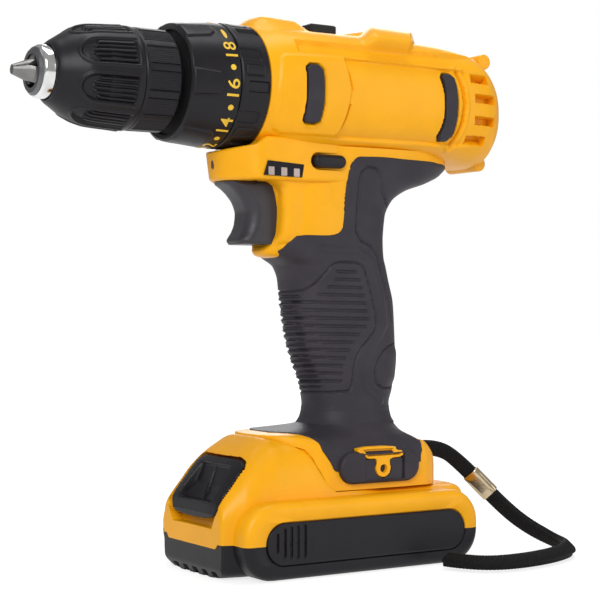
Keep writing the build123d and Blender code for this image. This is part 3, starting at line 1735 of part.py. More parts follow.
# ---------------------------------------------------------------- wrist strap
strap_route = [
    (lug_rear - 5, 0, lug_top - 5),
    (lug_rear + 5, 0, lug_top - 5),
    (78.0, -1.5, 39.2),
    (94.7, -11.5, 19.0),
    (101.5, -20.5, 10.5),
    (108.0, -33.0, 4.4),
    (104.0, -48.0, 3.9),
    (90.0, -58.5, 3.9),
    (70.0, -65.5, 3.9),
    (49.0, -66.5, 3.9),
    (38.5, -58.5, 3.9),
    (35.5, -47.0, 3.9),
]


# Largest arcs that both neighbouring runs allow at each corner of a route.
def corner_radii(route):
    points = [Vector(*point) for point in route]
    radii = []
    for before, corner, after in zip(points, points[1:], points[2:]):
        arriving = corner - before
        leaving = after - corner
        half_turn = radians(arriving.get_angle(leaving)) / 2
        radii.append(0.45 * min(arriving.length, leaving.length) / tan(half_turn))
    return radii


strap_radii = corner_radii(strap_route)
with BuildPart() as strap:
    with BuildLine() as strap_line:
        FilletPolyline(*strap_route, radius=strap_radii)
    with BuildSketch(Plane(origin=strap_line.line @ 0, z_dir=strap_line.line % 0)):
        Circle(strap_radius)
    sweep(path=strap_line.line)
print("strap radii", [round(radius, 1) for radius in strap_radii])
strap_length = sum(edge.length for edge in strap_line.line.edges())
print("strap volume over section x length", strap.part.volume / (pi * strap_radius**2 * strap_length))
write(strap, "strap")

with BuildPart() as strap_ferrule:
    ferrule_run = Vector(*strap_route[3]) - Vector(*strap_route[2])
    ferrule_middle = (Vector(*strap_route[3]) + Vector(*strap_route[2])) / 2
    ferrule_start = ferrule_middle - ferrule_run.normalized() * ferrule_length / 2
    with BuildSketch(Plane(origin=ferrule_start, z_dir=ferrule_run)):
        Circle(ferrule_radius)
        Circle(strap_radius + running_gap, mode=Mode.SUBTRACT)
    extrude(amount=ferrule_length)
write(strap_ferrule, "strap_ferrule")
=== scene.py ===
import json
import bpy
import numpy as np
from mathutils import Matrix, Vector


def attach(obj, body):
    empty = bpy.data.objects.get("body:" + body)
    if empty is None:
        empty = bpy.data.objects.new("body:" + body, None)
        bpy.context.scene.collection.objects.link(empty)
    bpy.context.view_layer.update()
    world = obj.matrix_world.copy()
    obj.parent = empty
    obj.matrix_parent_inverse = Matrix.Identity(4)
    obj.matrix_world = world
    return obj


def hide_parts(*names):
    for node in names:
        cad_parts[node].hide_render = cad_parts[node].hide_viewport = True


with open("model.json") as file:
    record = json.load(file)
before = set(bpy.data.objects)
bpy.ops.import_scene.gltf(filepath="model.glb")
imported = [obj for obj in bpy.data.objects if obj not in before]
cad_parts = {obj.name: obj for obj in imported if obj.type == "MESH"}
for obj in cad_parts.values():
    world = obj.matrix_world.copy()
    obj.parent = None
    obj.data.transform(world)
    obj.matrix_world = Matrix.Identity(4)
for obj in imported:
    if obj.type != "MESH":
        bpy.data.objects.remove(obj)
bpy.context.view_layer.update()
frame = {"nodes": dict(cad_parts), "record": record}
scene = bpy.context.scene
mm = 0.001
print("frame loaded,", len(frame["nodes"]), "nodes")

# Lengths are in millimetres until a mesh is made; the axes are the CAD's.
axisHeight = 203.0

# ---- camera
viewpoint = {"place": (-0.3760, -0.5800, 0.1105), "looks": (0.5355, 0.8445, 0.0045), "lens": 95.14}
camera = bpy.data.objects.new("camera", bpy.data.cameras.new("camera"))
camera.location = viewpoint["place"]
camera.rotation_mode = "QUATERNION"
camera.rotation_quaternion = Vector(viewpoint["looks"]).to_track_quat("-Z", "Y")
camera.data.lens = viewpoint["lens"]
camera.data.sensor_width = 36.0
scene.collection.objects.link(camera)
scene.camera = camera


# ---- node benches
# A value inside a node tree; arithmetic on it adds Math nodes.
class Signal:
    def __init__(self, bench, socket):
        self.bench = bench
        self.socket = socket

    def maths(self, operation, *others):
        return self.bench.add("Math", {"operation": operation}, dict(enumerate((self, *others))))

    def __add__(self, other):
        return self.maths("ADD", other)

    def __sub__(self, other):
        return self.maths("SUBTRACT", other)

    def __mul__(self, other):
        return self.maths("MULTIPLY", other)

    __radd__ = __add__

    # Rises smoothly from 0 at low to 1 at high.
    def rise(self, low, high):
        settings = {"interpolation_type": "SMOOTHSTEP"}
        return self.bench.add("MapRange", settings, {0: self, 1: low, 2: high, 3: 0.0, 4: 1.0})


# A material's node tree and the one way in which its nodes are made.
class Bench:
    def __init__(self, tree, output="OutputMaterial"):
        self.tree = tree
        self.tree.nodes.clear()
        self.output = self.tree.nodes.new("ShaderNode" + output)

    def add(self, kind, settings=None, values=None, output=0):
        node = self.tree.nodes.new("ShaderNode" + kind)
        for name, setting in (settings or {}).items():
            setattr(node, name, setting)
        for name, value in (values or {}).items():
            if isinstance(value, Signal):
                self.tree.links.new(value.socket, node.inputs[name])
            else:
                node.inputs[name].default_value = value
        return Signal(self, node.outputs[output])

    def blend(self, factor, first, second):
        return self.add("Mix", {"data_type": "RGBA"}, {0: factor, 6: first, 7: second}, output=2)

    def noise(self, place, scale, detail):
        return self.add("TexNoise", values={"Vector": place, "Scale": scale, "Detail": detail})

    def bump(self, height, strength, distance):
        return self.add("Bump", values={"Strength": strength, "Distance": distance, "Height": height})

    # One value for each kind of ray: 1 where the ray is of that kind.
    def rays(self, *kinds):
        outputs = self.add("LightPath").socket.node.outputs
        return [Signal(self, outputs[f"Is {kind} Ray"]) for kind in kinds]

    def show(self, shader):
        self.tree.links.new(shader.socket, self.output.inputs[0])

    def showSurface(self, tone, rough, lift, more):
        values = {"Base Color": tone, "Roughness": rough, "Normal": lift, **more}
        self.show(self.add("BsdfPrincipled", values=values))


# A new material with an empty bench to fill it.
def newMaterial(name):
    material = bpy.data.materials.new(name)
    material.use_nodes = True
    return material, Bench(material.node_tree)


# Shade of a colour, by the same factor in each channel.
def shade(colour, factor):
    return tuple(min(1.0, channel * factor) for channel in colour[:3]) + (1.0,)


# Moulded plastic: slow noise drifts the colour, fine grain roughens and lifts the surface.
def moulded(name, colour, look):
    material, bench = newMaterial(name)
    place = bench.add("TexCoord", output=3)
    slow = bench.noise(place, 60.0, 3.0)
    grain = bench.noise(place, look.get("grainScale", 3200.0), 2.0)
    handled = bench.noise(place, 220.0, 5.0)
    drift = look.get("drift", 0.05)
    tone = bench.blend(slow.rise(0.35, 0.65), shade(colour, 1 - drift), shade(colour, 1 + drift))
    tone = bench.blend(grain.rise(0.2, 0.8) * look.get("fleck", 0.15), tone, shade(colour, 0.8))
    rough = look["rough"] + (grain - 0.5) * 0.12 + (handled - 0.5) * 0.1
    lift = bench.bump(grain, look.get("grainLift", 0.25), look.get("grainDepth", 0.00003))
    bench.showSurface(tone, rough, lift, {"Specular IOR Level": look.get("shine", 0.5), **look.get("fixed", {})})
    return material


# Worked metal: noise stretched along or round the axis brushes it, slower noise dulls it in patches.
def machined(name, colour, look):
    material, bench = newMaterial(name)
    place = bench.add("TexCoord", output=3)
    turned = bench.add("Mapping", values={0: place, 3: look.get("brush", (6000.0, 300.0, 300.0))})
    brush = bench.noise(turned, 1.0, 3.0)
    patch = bench.noise(place, 160.0, 4.0)
    tone = bench.blend(patch.rise(0.3, 0.7), shade(colour, 0.88), shade(colour, 1.08))
    rough = look["rough"] + (brush - 0.5) * look.get("roughBrush", 0.16) + (patch - 0.5) * 0.12
    bench.showSurface(tone, rough, bench.bump(brush, 0.12, 0.00002), {"Metallic": 1.0})
    return material


finishes = {
    "yellow_shell": moulded(
        "goldenShell",
        (0.90, 0.405, 0.004),
        {"rough": 0.36, "shine": 0.25, "drift": 0.025, "fleck": 0.08, "grainScale": 2600.0, "grainLift": 0.2},
    ),
    "soft_grip": moulded(
        "softGrip",
        (0.037, 0.033, 0.041),
        {"rough": 0.50, "shine": 0.2, "drift": 0.10, "grainScale": 3000.0, "grainLift": 0.5, "grainDepth": 0.00004},
    ),
    "satin_black": moulded(
        "satinBlack",
        (0.010, 0.0088, 0.0115),
        {"rough": 0.38, "shine": 0.24, "drift": 0.08, "grainScale": 3000.0, "grainLift": 0.35},
    ),
    "black_plastic": moulded("innerPlastic", (0.012, 0.012, 0.013), {"rough": 0.6, "shine": 0.25}),
    "steel": machined("brushedSteel", (0.52, 0.52, 0.53), {"rough": 0.34}),
    "dark_steel": machined("oiledSteel", (0.17, 0.17, 0.18), {"rough": 0.42}),
    "jaw_steel": machined("groundSteel", (0.24, 0.235, 0.23), {"rough": 0.40, "brush": (400.0, 5000.0, 5000.0)}),
    "chrome": machined("polishedRing", (0.78, 0.78, 0.78), {"rough": 0.12, "roughBrush": 0.06}),
    "magnet": moulded("darkMagnet", (0.07, 0.07, 0.075), {"rough": 0.7}),
    "lens": moulded("lampLens", (0.10, 0.02, 0.012), {"rough": 0.16, "fixed": {"Coat Weight": 0.6}}),
    "window": moulded("gaugeWindow", (0.012, 0.010, 0.014), {"rough": 0.34, "shine": 0.12}),
    "webbing": moulded("wovenNylon", (0.006, 0.006, 0.007), {"rough": 0.8, "shine": 0.15}),
    "brass": machined("ferruleMetal", (0.62, 0.50, 0.33), {"rough": 0.18, "roughBrush": 0.08}),
    "copper": machined("turnedCopper", (0.70, 0.38, 0.24), {"rough": 0.35}),
    "cell_wrap": moulded("cellWrap", (0.04, 0.18, 0.27), {"rough": 0.3}),
    "board": moulded("circuitBoard", (0.02, 0.18, 0.07), {"rough": 0.45}),
    "nylon": moulded("whiteNylon", (0.70, 0.69, 0.65), {"rough": 0.5}),
}
print(len(finishes), "finishes made")

slotOf = {part["node"]: part["material_slot"] for part in frame["record"]["subparts"]}
for nodeName, node in frame["nodes"].items():
    node.data.materials.clear()
    node.data.materials.append(finishes[slotOf[nodeName]])


# ---- shared mesh work
# 0 below low, 1 above high, with level ends between.
def ease(value, low, high):
    share = np.clip((np.asarray(value, float) - low) / (high - low), 0.0, 1.0)
    return share * share * (3.0 - 2.0 * share)


# The other way: 1 below low, 0 above high.
def fade(value, low, high):
    return 1 - ease(value, low, high)


# Even angles round a whole circle.
def wholeTurn(count):
    return np.linspace(0, 2 * np.pi, count, endpoint=False)


# Even angles over a quarter of a circle, both ends kept.
def quarterTurn(count):
    return np.linspace(0, np.pi / 2, count)


# Points from their three coordinates, each spread to the shape that they share.
def pointsAt(x, y, z):
    return np.stack(np.broadcast_arrays(x, y, z), -1)


# Radius of a squared oval in the direction with this cosine and sine.
def squaredOval(c, s, wide, tall, power):
    return (np.abs(c / wide) ** power + np.abs(s / tall) ** power) ** (-1 / power)


# Curve through stations whose slopes never overshoot: cubic pieces with harmonic-mean slopes.
def curveThrough(at, stations, values):
    stations, values = np.asarray(stations, float), np.asarray(values, float)
    spans = np.diff(stations)
    slopes = np.diff(values) / spans
    product = slopes[:-1] * slopes[1:]
    inner = np.where(product > 0, 2 * slopes[:-1] * slopes[1:] / (slopes[:-1] + slopes[1:] + 1e-12), 0.0)
    tangents = np.concatenate([slopes[:1], inner, slopes[-1:]])
    at = np.clip(np.asarray(at, float), stations[0], stations[-1])
    index = np.clip(np.searchsorted(stations, at, side="right") - 1, 0, len(spans) - 1)
    h, t = spans[index], (at - stations[index]) / spans[index]
    rise = (3 - 2 * t) * t * t
    return (
        values[index] * (1 - rise)
        + values[index + 1] * rise
        + h * tangents[index] * t * (1 - t) ** 2
        - h * tangents[index + 1] * t * t * (1 - t)
    )


# Sizes of a form at a station, one for each key.
def sizesAt(form, at, *keys):
    return [curveThrough(at, form["stations"], form[key]) for key in keys]


# Signed distance to a closed outline, negative inside: nearest edge, with the sign from crossings.
def outlineDistance(across, up, outline):
    corners = np.asarray(outline, float)
    nearest = np.full(np.shape(across), 1e9)
    inside = np.zeros(np.shape(across), bool)
    for start, end in zip(corners, np.roll(corners, -1, axis=0)):
        edge = end - start
        share = np.clip(((across - start[0]) * edge[0] + (up - start[1]) * edge[1]) / (edge @ edge), 0, 1)
        gap = np.hypot(across - start[0] - share * edge[0], up - start[1] - share * edge[1])
        nearest = np.minimum(nearest, gap)
        if edge[1]:
            spans = (start[1] > up) != (end[1] > up)
            inside ^= spans & (across < start[0] + (up - start[1]) * edge[0] / edge[1])
    return np.where(inside, -nearest, nearest)


# Distance run along a line of points, from 0 at its start.
def runAlong(points):
    return np.concatenate([[0.0], np.cumsum(np.linalg.norm(np.diff(points, axis=0), axis=1))])


# Rounds an outline by cutting corners: each pass keeps the quarter points of each edge.
def rounded(outline, passes=2, closed=True):
    points = np.asarray(outline, float)
    for _ in range(passes):
        following = np.roll(points, -1, axis=0)
        cut = np.stack([points * 0.75 + following * 0.25, points * 0.25 + following * 0.75], 1)
        cut = cut.reshape(-1, points.shape[1])
        points = cut if closed else np.concatenate([points[:1], cut[1:-3], points[-1:]])
    return points


# The same outline at evenly spaced places along its length.
def resampled(outline, count, closed=True):
    points = np.asarray(outline, float)
    if closed:
        points = np.concatenate([points, points[:1]])
    run = runAlong(points)
    at = np.linspace(0, run[-1], count + 1)[:-1] if closed else np.linspace(0, run[-1], count)
    return np.stack([np.interp(at, run, points[:, axis]) for axis in range(points.shape[1])], -1)


# Outward unit normals of a closed ring of plan points.
def outwardOf(ring):
    edgeway = np.roll(ring, -1, axis=0) - np.roll(ring, 1, axis=0)
    outward = np.stack([edgeway[:, 1], -edgeway[:, 0]], -1)
    outward /= np.linalg.norm(outward, axis=1, keepdims=True) + 1e-9
    following = np.roll(ring, -1, axis=0)
    return outward * np.sign((ring[:, 0] * following[:, 1] - following[:, 0] * ring[:, 1]).sum())


# The ring drawn inwards along its own normals.
def drawnIn(ring, amount):
    return ring - outwardOf(ring) * amount


# Rounded oblong as an outline; it is a circle where the corner is as large as both halves.
def oblong(centre, half, corner, count=12):
    arcs = []
    for step, (signX, signZ) in enumerate(((1, 1), (-1, 1), (-1, -1), (1, -1))):
        turn = quarterTurn(count) + step * np.pi / 2
        corners = [signX * (half[0] - corner), signZ * (half[1] - corner)]
        arcs.append(corners + corner * np.stack([np.cos(turn), np.sin(turn)], -1))
    return np.concatenate(arcs) + centre


# Mesh from rows x columns of points: columns close on themselves and each end row meets its middle.
def skinMesh(name, points, sharpest=38.0, capped=(True, True), marks=None):
    rows, columns = points.shape[:2]
    grid = np.arange(rows * columns).reshape(rows, columns)
    beside = np.roll(grid, -1, axis=1)
    faces = np.stack([grid[:-1], beside[:-1], beside[1:], grid[1:]], -1).reshape(-1, 4)
    corners = points.reshape(-1, 3)
    triangles = np.zeros((0, 3), int)
    for row, wanted, order in ((0, capped[0], -1), (rows - 1, capped[1], 1)):
        if wanted:
            middle = np.full(columns, len(corners))
            corners = np.concatenate([corners, points[row].mean(0)[None]])
            cap = np.stack([grid[row], beside[row], middle], -1)
            triangles = np.concatenate([triangles, cap[:, ::order]])
    return meshOf(name, corners, faces, triangles, sharpest, marks)


# Mesh of four- and three-sided faces, turned so that its signed volume is above zero.
def meshOf(name, corners, faces, triangles=np.zeros((0, 3), int), sharpest=38.0, marks=None):
    a, b, c = corners[faces[:, 0]], corners[faces[:, 1]], corners[faces[:, 2]]
    d = corners[faces[:, 3]]
    volume = (a * np.cross(b, c)).sum() + (a * np.cross(c, d)).sum()
    if len(triangles):
        volume += (corners[triangles[:, 0]] * np.cross(corners[triangles[:, 1]], corners[triangles[:, 2]])).sum()
    if volume < 0:
        faces, triangles = faces[:, ::-1], triangles[:, ::-1]
    mesh = bpy.data.meshes.new(name)
    mesh.from_pydata((corners * mm).tolist(), [], faces.tolist() + triangles.tolist())
    mesh.polygons.foreach_set("use_smooth", np.ones(len(mesh.polygons), bool))
    if marks is not None:
        kinds = np.zeros(len(mesh.polygons), np.int32)
        kinds[: len(faces)] = marks
        mesh.polygons.foreach_set("material_index", kinds)
    mesh.update()
    mesh.set_sharp_from_angle(angle=np.radians(sharpest))
    return mesh


# Sets a finished mesh in the scene on its body, in its slot, standing for its nodes.
def place(name, mesh, body, slotName, nodes=(), material=None, more=()):
    made = bpy.data.objects.new(name, mesh)
    scene.collection.objects.link(made)
    mesh.materials.clear()
    for finish in (material or finishes[slotName], *more):
        mesh.materials.append(finish)
    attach(made, body)
    if nodes:
        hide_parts(*nodes)
    return made


# Skins a grid of points and sets the piece in place.
def skin(name, points, body, slotName, nodes=(), sharpest=50.0, **rest):
    return place(name, skinMesh(name, points, sharpest), body, slotName, nodes, **rest)


sides = ((-1, "left"), (1, "right"))

# ---- wrist strap
strap = {
    "route": (
        (57, 0, 46.5), (67, 0, 46.5), (78, -1.5, 39.2), (94.7, -11.5, 19), (101.5, -20.5, 10.5), (108, -33, 4.4),
        (104, -48, 3.9), (90, -58.5, 3.9), (70, -65.5, 3.9), (49, -66.5, 3.9), (38.5, -58.5, 3.9), (35.5, -47, 3.9),
    ),
    "width": 7.2,
    "thickness": 4.4,
    "ribPitch": 1.5,
    "ribDepth": 0.22,
    "ferruleLength": 13.6,
    "ferruleAt": 0.205,
}


# Points along the route's NURBS spline, read from a curve that has no bevel.
def splinePoints(name, route, resolution=24):
    curve = bpy.data.curves.new(name, "CURVE")
    curve.dimensions = "3D"
    spline = curve.splines.new("NURBS")
    spline.points.add(len(route) - 1)
    for point, (x, y, z) in zip(spline.points, route):
        point.co = (x * mm, y * mm, z * mm, 1.0)
    spline.order_u = 3
    spline.use_endpoint_u = True
    spline.resolution_u = resolution
    helper = bpy.data.objects.new(name, curve)
    scene.collection.objects.link(helper)
    bpy.context.view_layer.update()
    line = bpy.data.meshes.new_from_object(helper.evaluated_get(bpy.context.evaluated_depsgraph_get()))
    points = np.array([vertex.co[:] for vertex in line.vertices]) / mm
    bpy.data.objects.remove(helper)
    bpy.data.curves.remove(curve)
    bpy.data.meshes.remove(line)
    return points


# Frames along a line: a level direction across it, and the one square to that and to the line.
def framesAlong(line):
    along = np.gradient(line, axis=0)
    along /= np.linalg.norm(along, axis=1, keepdims=True)
    across = np.cross(along, (0.0, 0.0, 1.0))
    across /= np.linalg.norm(across, axis=1, keepdims=True)
    return across, np.cross(across, along)


# Flattened oval carried along a line, turned by its twist and swollen or thinned by the given shares.
def ovalAlong(line, flat, thick, angle, swell, plies=1.0, ribs=1.0):
    wide = (strap["width"] / 2 + swell) * np.sign(np.cos(angle)) * np.abs(np.cos(angle)) ** 0.6 * plies
    deep = (strap["thickness"] / 2 + swell) * np.sign(np.sin(angle)) * np.abs(np.sin(angle)) ** 0.7 * ribs
    return line[:, None] + flat * wide + thick * deep


# Webbing: its ribs run across it, and a groove along each face parts the two plies.
def webbingPoints(line, run, twist):
    across, out = framesAlong(line)
    turn = twist[:, None, None]
    flat = across[:, None] * np.cos(turn) + out[:, None] * np.sin(turn)
    thick = out[:, None] * np.cos(turn) - across[:, None] * np.sin(turn)
    angle = wholeTurn(28)[None, :, None]
    ribs = 1 + strap["ribDepth"] / strap["thickness"] * np.cos(2 * np.pi * run / strap["ribPitch"])[:, None, None]
    plies = 1 - 0.16 * np.exp(-((np.sin(angle)) / 0.22) ** 2)
    return ovalAlong(line, flat, thick, angle, 0.0, plies, ribs)


strapLine = resampled(splinePoints("strapRoute", strap["route"]), 520, closed=False)
strapRun = runAlong(strapLine)
strapTwist = np.radians(np.interp(strapRun, (0, 60, 110, 300), (75, 75, 30, 10)))
webbing, bench = newMaterial("wovenNylonStrap")
placeOn = bench.add("TexCoord", output=3)
threads = bench.noise(placeOn, 1800.0, 3.0)
fuzz = bench.noise(placeOn, 5200.0, 2.0)
strapTone = bench.blend(threads.rise(0.3, 0.7), (0.003, 0.003, 0.0035, 1.0), (0.011, 0.0105, 0.011, 1.0))
strapLift = bench.bump(threads * 0.6 + fuzz * 0.4, 0.5, 0.0001)
bench.showSurface(strapTone, 0.72 + fuzz * 0.2, strapLift, {"Specular IOR Level": 0.18})
strapPiece = skin(
    "wristStrap",
    webbingPoints(strapLine, strapRun, strapTwist),
    "housing",
    "webbing",
    ["strap"],
    sharpest=80.0,
    material=webbing,
)


# Ferrule: a flattened tube carried along a short straight stretch of the strap, its ends rolled in.
def ferrulePoints():
    middle = strap["ferruleAt"] * strapRun[-1]
    half = strap["ferruleLength"] / 2
    at = middle + half * np.array([-0.97, -1.0, -1.0, -0.98, -0.94, -0.5, 0.0, 0.5, 0.94, 0.98, 1.0, 1.0, 0.97])
    swell = np.array([-0.1, 0.0, 0.35, 0.5, 0.6, 0.6, 0.6, 0.6, 0.6, 0.5, 0.35, 0.0, -0.1])[:, None, None]
    line = np.stack([np.interp(at, strapRun, strapLine[:, axis]) for axis in range(3)], -1)
    across, out = framesAlong(strapLine)
    middleRow = int(np.interp(at, strapRun, np.arange(len(strapRun)))[len(at) // 2])
    turn = strapTwist[middleRow]
    flat = across[middleRow] * np.cos(turn) + out[middleRow] * np.sin(turn)
    thick = out[middleRow] * np.cos(turn) - across[middleRow] * np.sin(turn)
    return ovalAlong(line, flat, thick, wholeTurn(48)[None, :, None], swell)


ferruleMesh = skinMesh("strapFerrule", ferrulePoints(), capped=(False, False))
ferrulePiece = place("strapFerrule", ferruleMesh, "housing", "brass", ["strap_ferrule"])
print("strap laid,", round(float(strapRun[-1]), 1), "mm long")

# ---- motor housing
barrel = {
    "stations": (-38.4, -34, -28, -20, -8, 20, 48, 52, 58, 66, 74, 80, 85, 89, 92, 93),
    "top": (
        229.2, 229.4, 229.2, 228.8, 228.5, 228.6, 227.9, 227.7, 227.3, 226.6, 225.2, 222.6, 218.2, 212.6, 206.5,
        203.5,
    ),
    "bottom": (
        176.6, 176.5, 176.5, 176.5, 176.5, 176.5, 176.5, 176.3, 175.8, 174.9, 173.9, 173.8, 178.0, 185, 193.6, 197,
    ),
    "half": (26.4, 26.6, 27.1, 27.5, 27.8, 27.8, 27.8, 27.8, 27.7, 27.4, 26.4, 24.4, 21.0, 16.0, 9.0, 5.5),
    "squareness": (2.0, 2.15, 2.5, 2.9, 3.2, 3.3, 3.3, 3.3, 3.2, 3.0, 2.8, 2.6, 2.5, 2.4, 2.3, 2.2),
    "frontPanel": (
        (-33.6, 213), (-31.5, 214.8), (-3.6, 215.6), (-2.2, 211.9), (0.1, 202.3), (-1.1, 195.5), (-4, 185.5),
        (-6, 182.6), (-31.5, 182.8), (-34.6, 184.6), (-35.4, 187), (-35.6, 199),
    ),
    "drum": (
        (-3.0, 215.4), (60.7, 214.9), (74.9, 214.0), (79.8, 210), (82.0, 204), (81.5, 197.5), (77.5, 190),
        (72, 185), (66, 182.2), (56, 181.4), (-5.6, 181.4), (-4, 185.5), (-1.1, 195.5), (0.1, 202.3),
        (-2.2, 211.9),
    ),
    "slits": (((-2.4, 212), (-1.0, 208.3), (0.2, 202.3)), ((-0.8, 195.5), (-2.1, 190.9), (-4.0, 185.5))),
    "frontPad": (
        (-22.7, 211.2), (-15.1, 211.2), (-14.2, 204), (-14.2, 196), (-15.2, 190.5), (-15.8, 187.0), (-23.2, 187.0),
        (-22.5, 193), (-22.1, 199.3), (-22.1, 205),
    ),
    "rearPad": (
        (47.2, 212.7), (53.6, 212.7), (55.6, 207), (56.4, 200), (55.8, 193), (53.6, 183.4), (47.0, 183.4),
        (49.2, 191), (49.8, 199), (49.2, 206),
    ),
    "groove": ((57.0, 215), (59.6, 207), (60.4, 199.6), (59.2, 191), (56.4, 181.6)),
    "vents": ((64.6, 75.6, 212.0), (66.6, 79.4, 203.2), (66.6, 79.4, 193.4), (63.0, 74.0, 184.6)),
    "bow": 1.9,
    "rearBow": 0.7,
    "coveDepth": 1.7,
    "ventDepth": 5.0,
    "rows": 340,
    "columns": 216,
}


# Top, bottom, half-width and squareness of the barrel at a station.
def barrelSizes(x):
    return sizesAt(barrel, x, "top", "bottom", "half", "squareness")


# Distance to an open line of points.
def lineDistance(across, up, line):
    nearest = np.full(np.shape(across), 1e9)
    for start, end in zip(np.asarray(line[:-1], float), np.asarray(line[1:], float)):
        edge = end - start
        share = np.clip(((across - start[0]) * edge[0] + (up - start[1]) * edge[1]) / (edge @ edge), 0, 1)
        nearest = np.minimum(nearest, np.hypot(across - start[0] - share * edge[0], up - start[1] - share * edge[1]))
    return nearest


# Rise of the shell's skin above its plain form at a station, half-width place and height.
def barrelRelief(x, y, z):
    side = ease(np.abs(y), 17.0, 21.0)
    top = ease(z, 208.0, 214.0)
    bump = np.zeros_like(x)
    # The panel round the front pad stands proud of the neck.
    bump += side * 0.9 * ease(-outlineDistance(x, z, barrel["frontPanel"]), -0.6, 0.9)
    # The drum behind it bows like the motor inside: deepest at its upper and lower edges.
    drumGap = outlineDistance(x, z, barrel["drum"])
    drum = ease(-drumGap, -0.15, 0.5)
    bow = ((z - 198.5) / 17.0) ** 2
    rearward = fade(x, 60.0, 64.0)
    bump += side * drum * (0.35 - barrel["bow"] * bow * rearward - barrel["rearBow"] * bow * (1 - rearward))
    # Cove under the spine's edge, crisp above and soft below.
    lower = np.interp(x, (-26, 60, 90), (216.1, 215.7, 214.0))
    upper = np.interp(x, (-26, 30, 44, 60), (222.0, 222.0, 222.4, 223.0))
    cove = ease(z, lower - 0.2, lower + 0.9) * fade(z, upper - 0.7, upper + 0.1)
    cove = cove * ease(x, -25.5, -23.0) * fade(x, 58, 76) * ease(np.abs(y), 12.0, 15.0)
    bump -= barrel["coveDepth"] * cove
    # Slits, pad seats, the groove behind the rear pad and the vents.
    for slit in barrel["slits"]:
        bump -= side * 1.3 * fade(lineDistance(x, z, slit), 0.25, 0.65)
    for pad in ("frontPad", "rearPad"):
        gap = outlineDistance(x, z, rounded(barrel[pad], 1))
        bump += side * (0.35 * fade(gap, 0.8, 2.0) - 2.0 * fade(gap, 0.3, 0.75))
    bump -= side * 2.2 * fade(lineDistance(x, z, barrel["groove"]), 0.45, 1.0)
    bump += side * 0.5 * fade(np.abs(lineDistance(x, z, barrel["groove"]) - 2.2), 0.2, 1.0)
    bump -= ventDepth(x, y, z)
    # Humps on top: a pointer by the collar, and a long pad at the rear.
    reach = np.hypot(np.clip(np.abs(x + 24.0) - 7.0, 0, None) / 9.0, np.clip(np.abs(y) - 6.0, 0, None) / 10.0)
    bump += 4.3 * fade(reach, 0.0, 1.0) * top * (x > -38.3)
    rearEdge = np.interp(np.abs(y), (0, 10, 22, 26), (46.5, 44.5, 33.5, 30.0))
    frontEdge = np.interp(np.abs(y), (0, 8, 22), (24.0, 20.0, 12.0))
    pad = ease(x, frontEdge - 4.0, frontEdge + 3.0) * fade(x, rearEdge - 0.8, rearEdge + 2.2)
    bump += 4.6 * pad * ease(z, 220.6, 222.6) * top
    # Seam between the halves.
    bump -= 0.35 * fade(np.abs(y), 0.05, 0.45)
    return bump


# Depth of the four cooling slots on each side.
def ventDepth(x, y, z):
    depth = np.zeros_like(x)
    for front, rear, level in barrel["vents"]:
        reach = np.maximum(np.maximum(front - x, x - rear), np.abs(z - level) - 1.75)
        depth = np.maximum(depth, barrel["ventDepth"] * fade(reach, -0.25, 0.25))
    return depth * ease(np.abs(y), 12.0, 14.0)


# Barrel half: a squared oval by angle at each station, closed along the seam, relief along its normal; faces deep in
# the vents are marked for painted shade.
def barrelHalf(side):
    front, rear = barrel["stations"][0], barrel["stations"][-1]
    nearRear = rear - 3.0 * (1 - np.sin(quarterTurn(14)))
    x = np.concatenate([np.linspace(front, rear - 3.0, barrel["rows"] - 14, endpoint=False), nearRear])[:, None]
    top, bottom, half, square = barrelSizes(x)
    angle = np.linspace(-np.pi / 2, np.pi / 2, barrel["columns"])[None]
    middle, tall = (top + bottom) / 2, (top - bottom) / 2
    c, s = np.cos(angle), np.sin(angle)
    radius = squaredOval(c, s, half, tall, square)
    y, z = radius * c, radius * s
    ny, nz = np.abs(y / half) ** (square - 1) / half, np.sign(z) * np.abs(z / tall) ** (square - 1) / tall
    length = np.hypot(ny, nz)
    x = x + np.zeros_like(y)
    bump = barrelRelief(x, y, z + middle)
    # The front ring stays at the collar's size and the rear end stays closed.
    bump = bump * ease(x, front, front + 1.8) * fade(x, rear - 7.0, rear - 3.0)
    points = pointsAt(x, side * (y + bump * ny / length), z + middle + bump * nz / length)
    # Faces deep in the vents are marked for the second material, a darker orange that paints the shade inside them.
    deep = ventDepth(x, y, z + middle) > 1.2
    marks = deep[:-1] & deep[1:]
    marks = np.concatenate([marks[:, :-1] & marks[:, 1:], np.zeros((len(marks), 1), bool)], 1)
    return points, marks.reshape(-1).astype(np.int32)


# Darker orange for the faces deep in the vents: painted shade, not a colour of the plastic.
ventPaintedShade = moulded("ventDepthsPaintedShade", (0.30, 0.040, 0.003), {"rough": 0.5, "drift": 0.2})
for side, word in sides:
    points, marks = barrelHalf(side)
    shellMesh = skinMesh("motorShell_" + word, points, marks=marks, sharpest=50.0)
    place("motorShell_" + word, shellMesh, "housing", "yellow_shell", ["housing_" + word], more=[ventPaintedShade])
print("motor housing shaped")


# Height of the shell's side at a station and level: the squared oval solved for its half-width.
def barrelSide(x, z):
    top, bottom, half, square = barrelSizes(x)
    middle, tall = (top + bottom) / 2, (top - bottom) / 2
    share = np.clip(np.abs((z - middle) / tall), 0, 0.999)
    return half * (1 - share ** square) ** (1 / square)


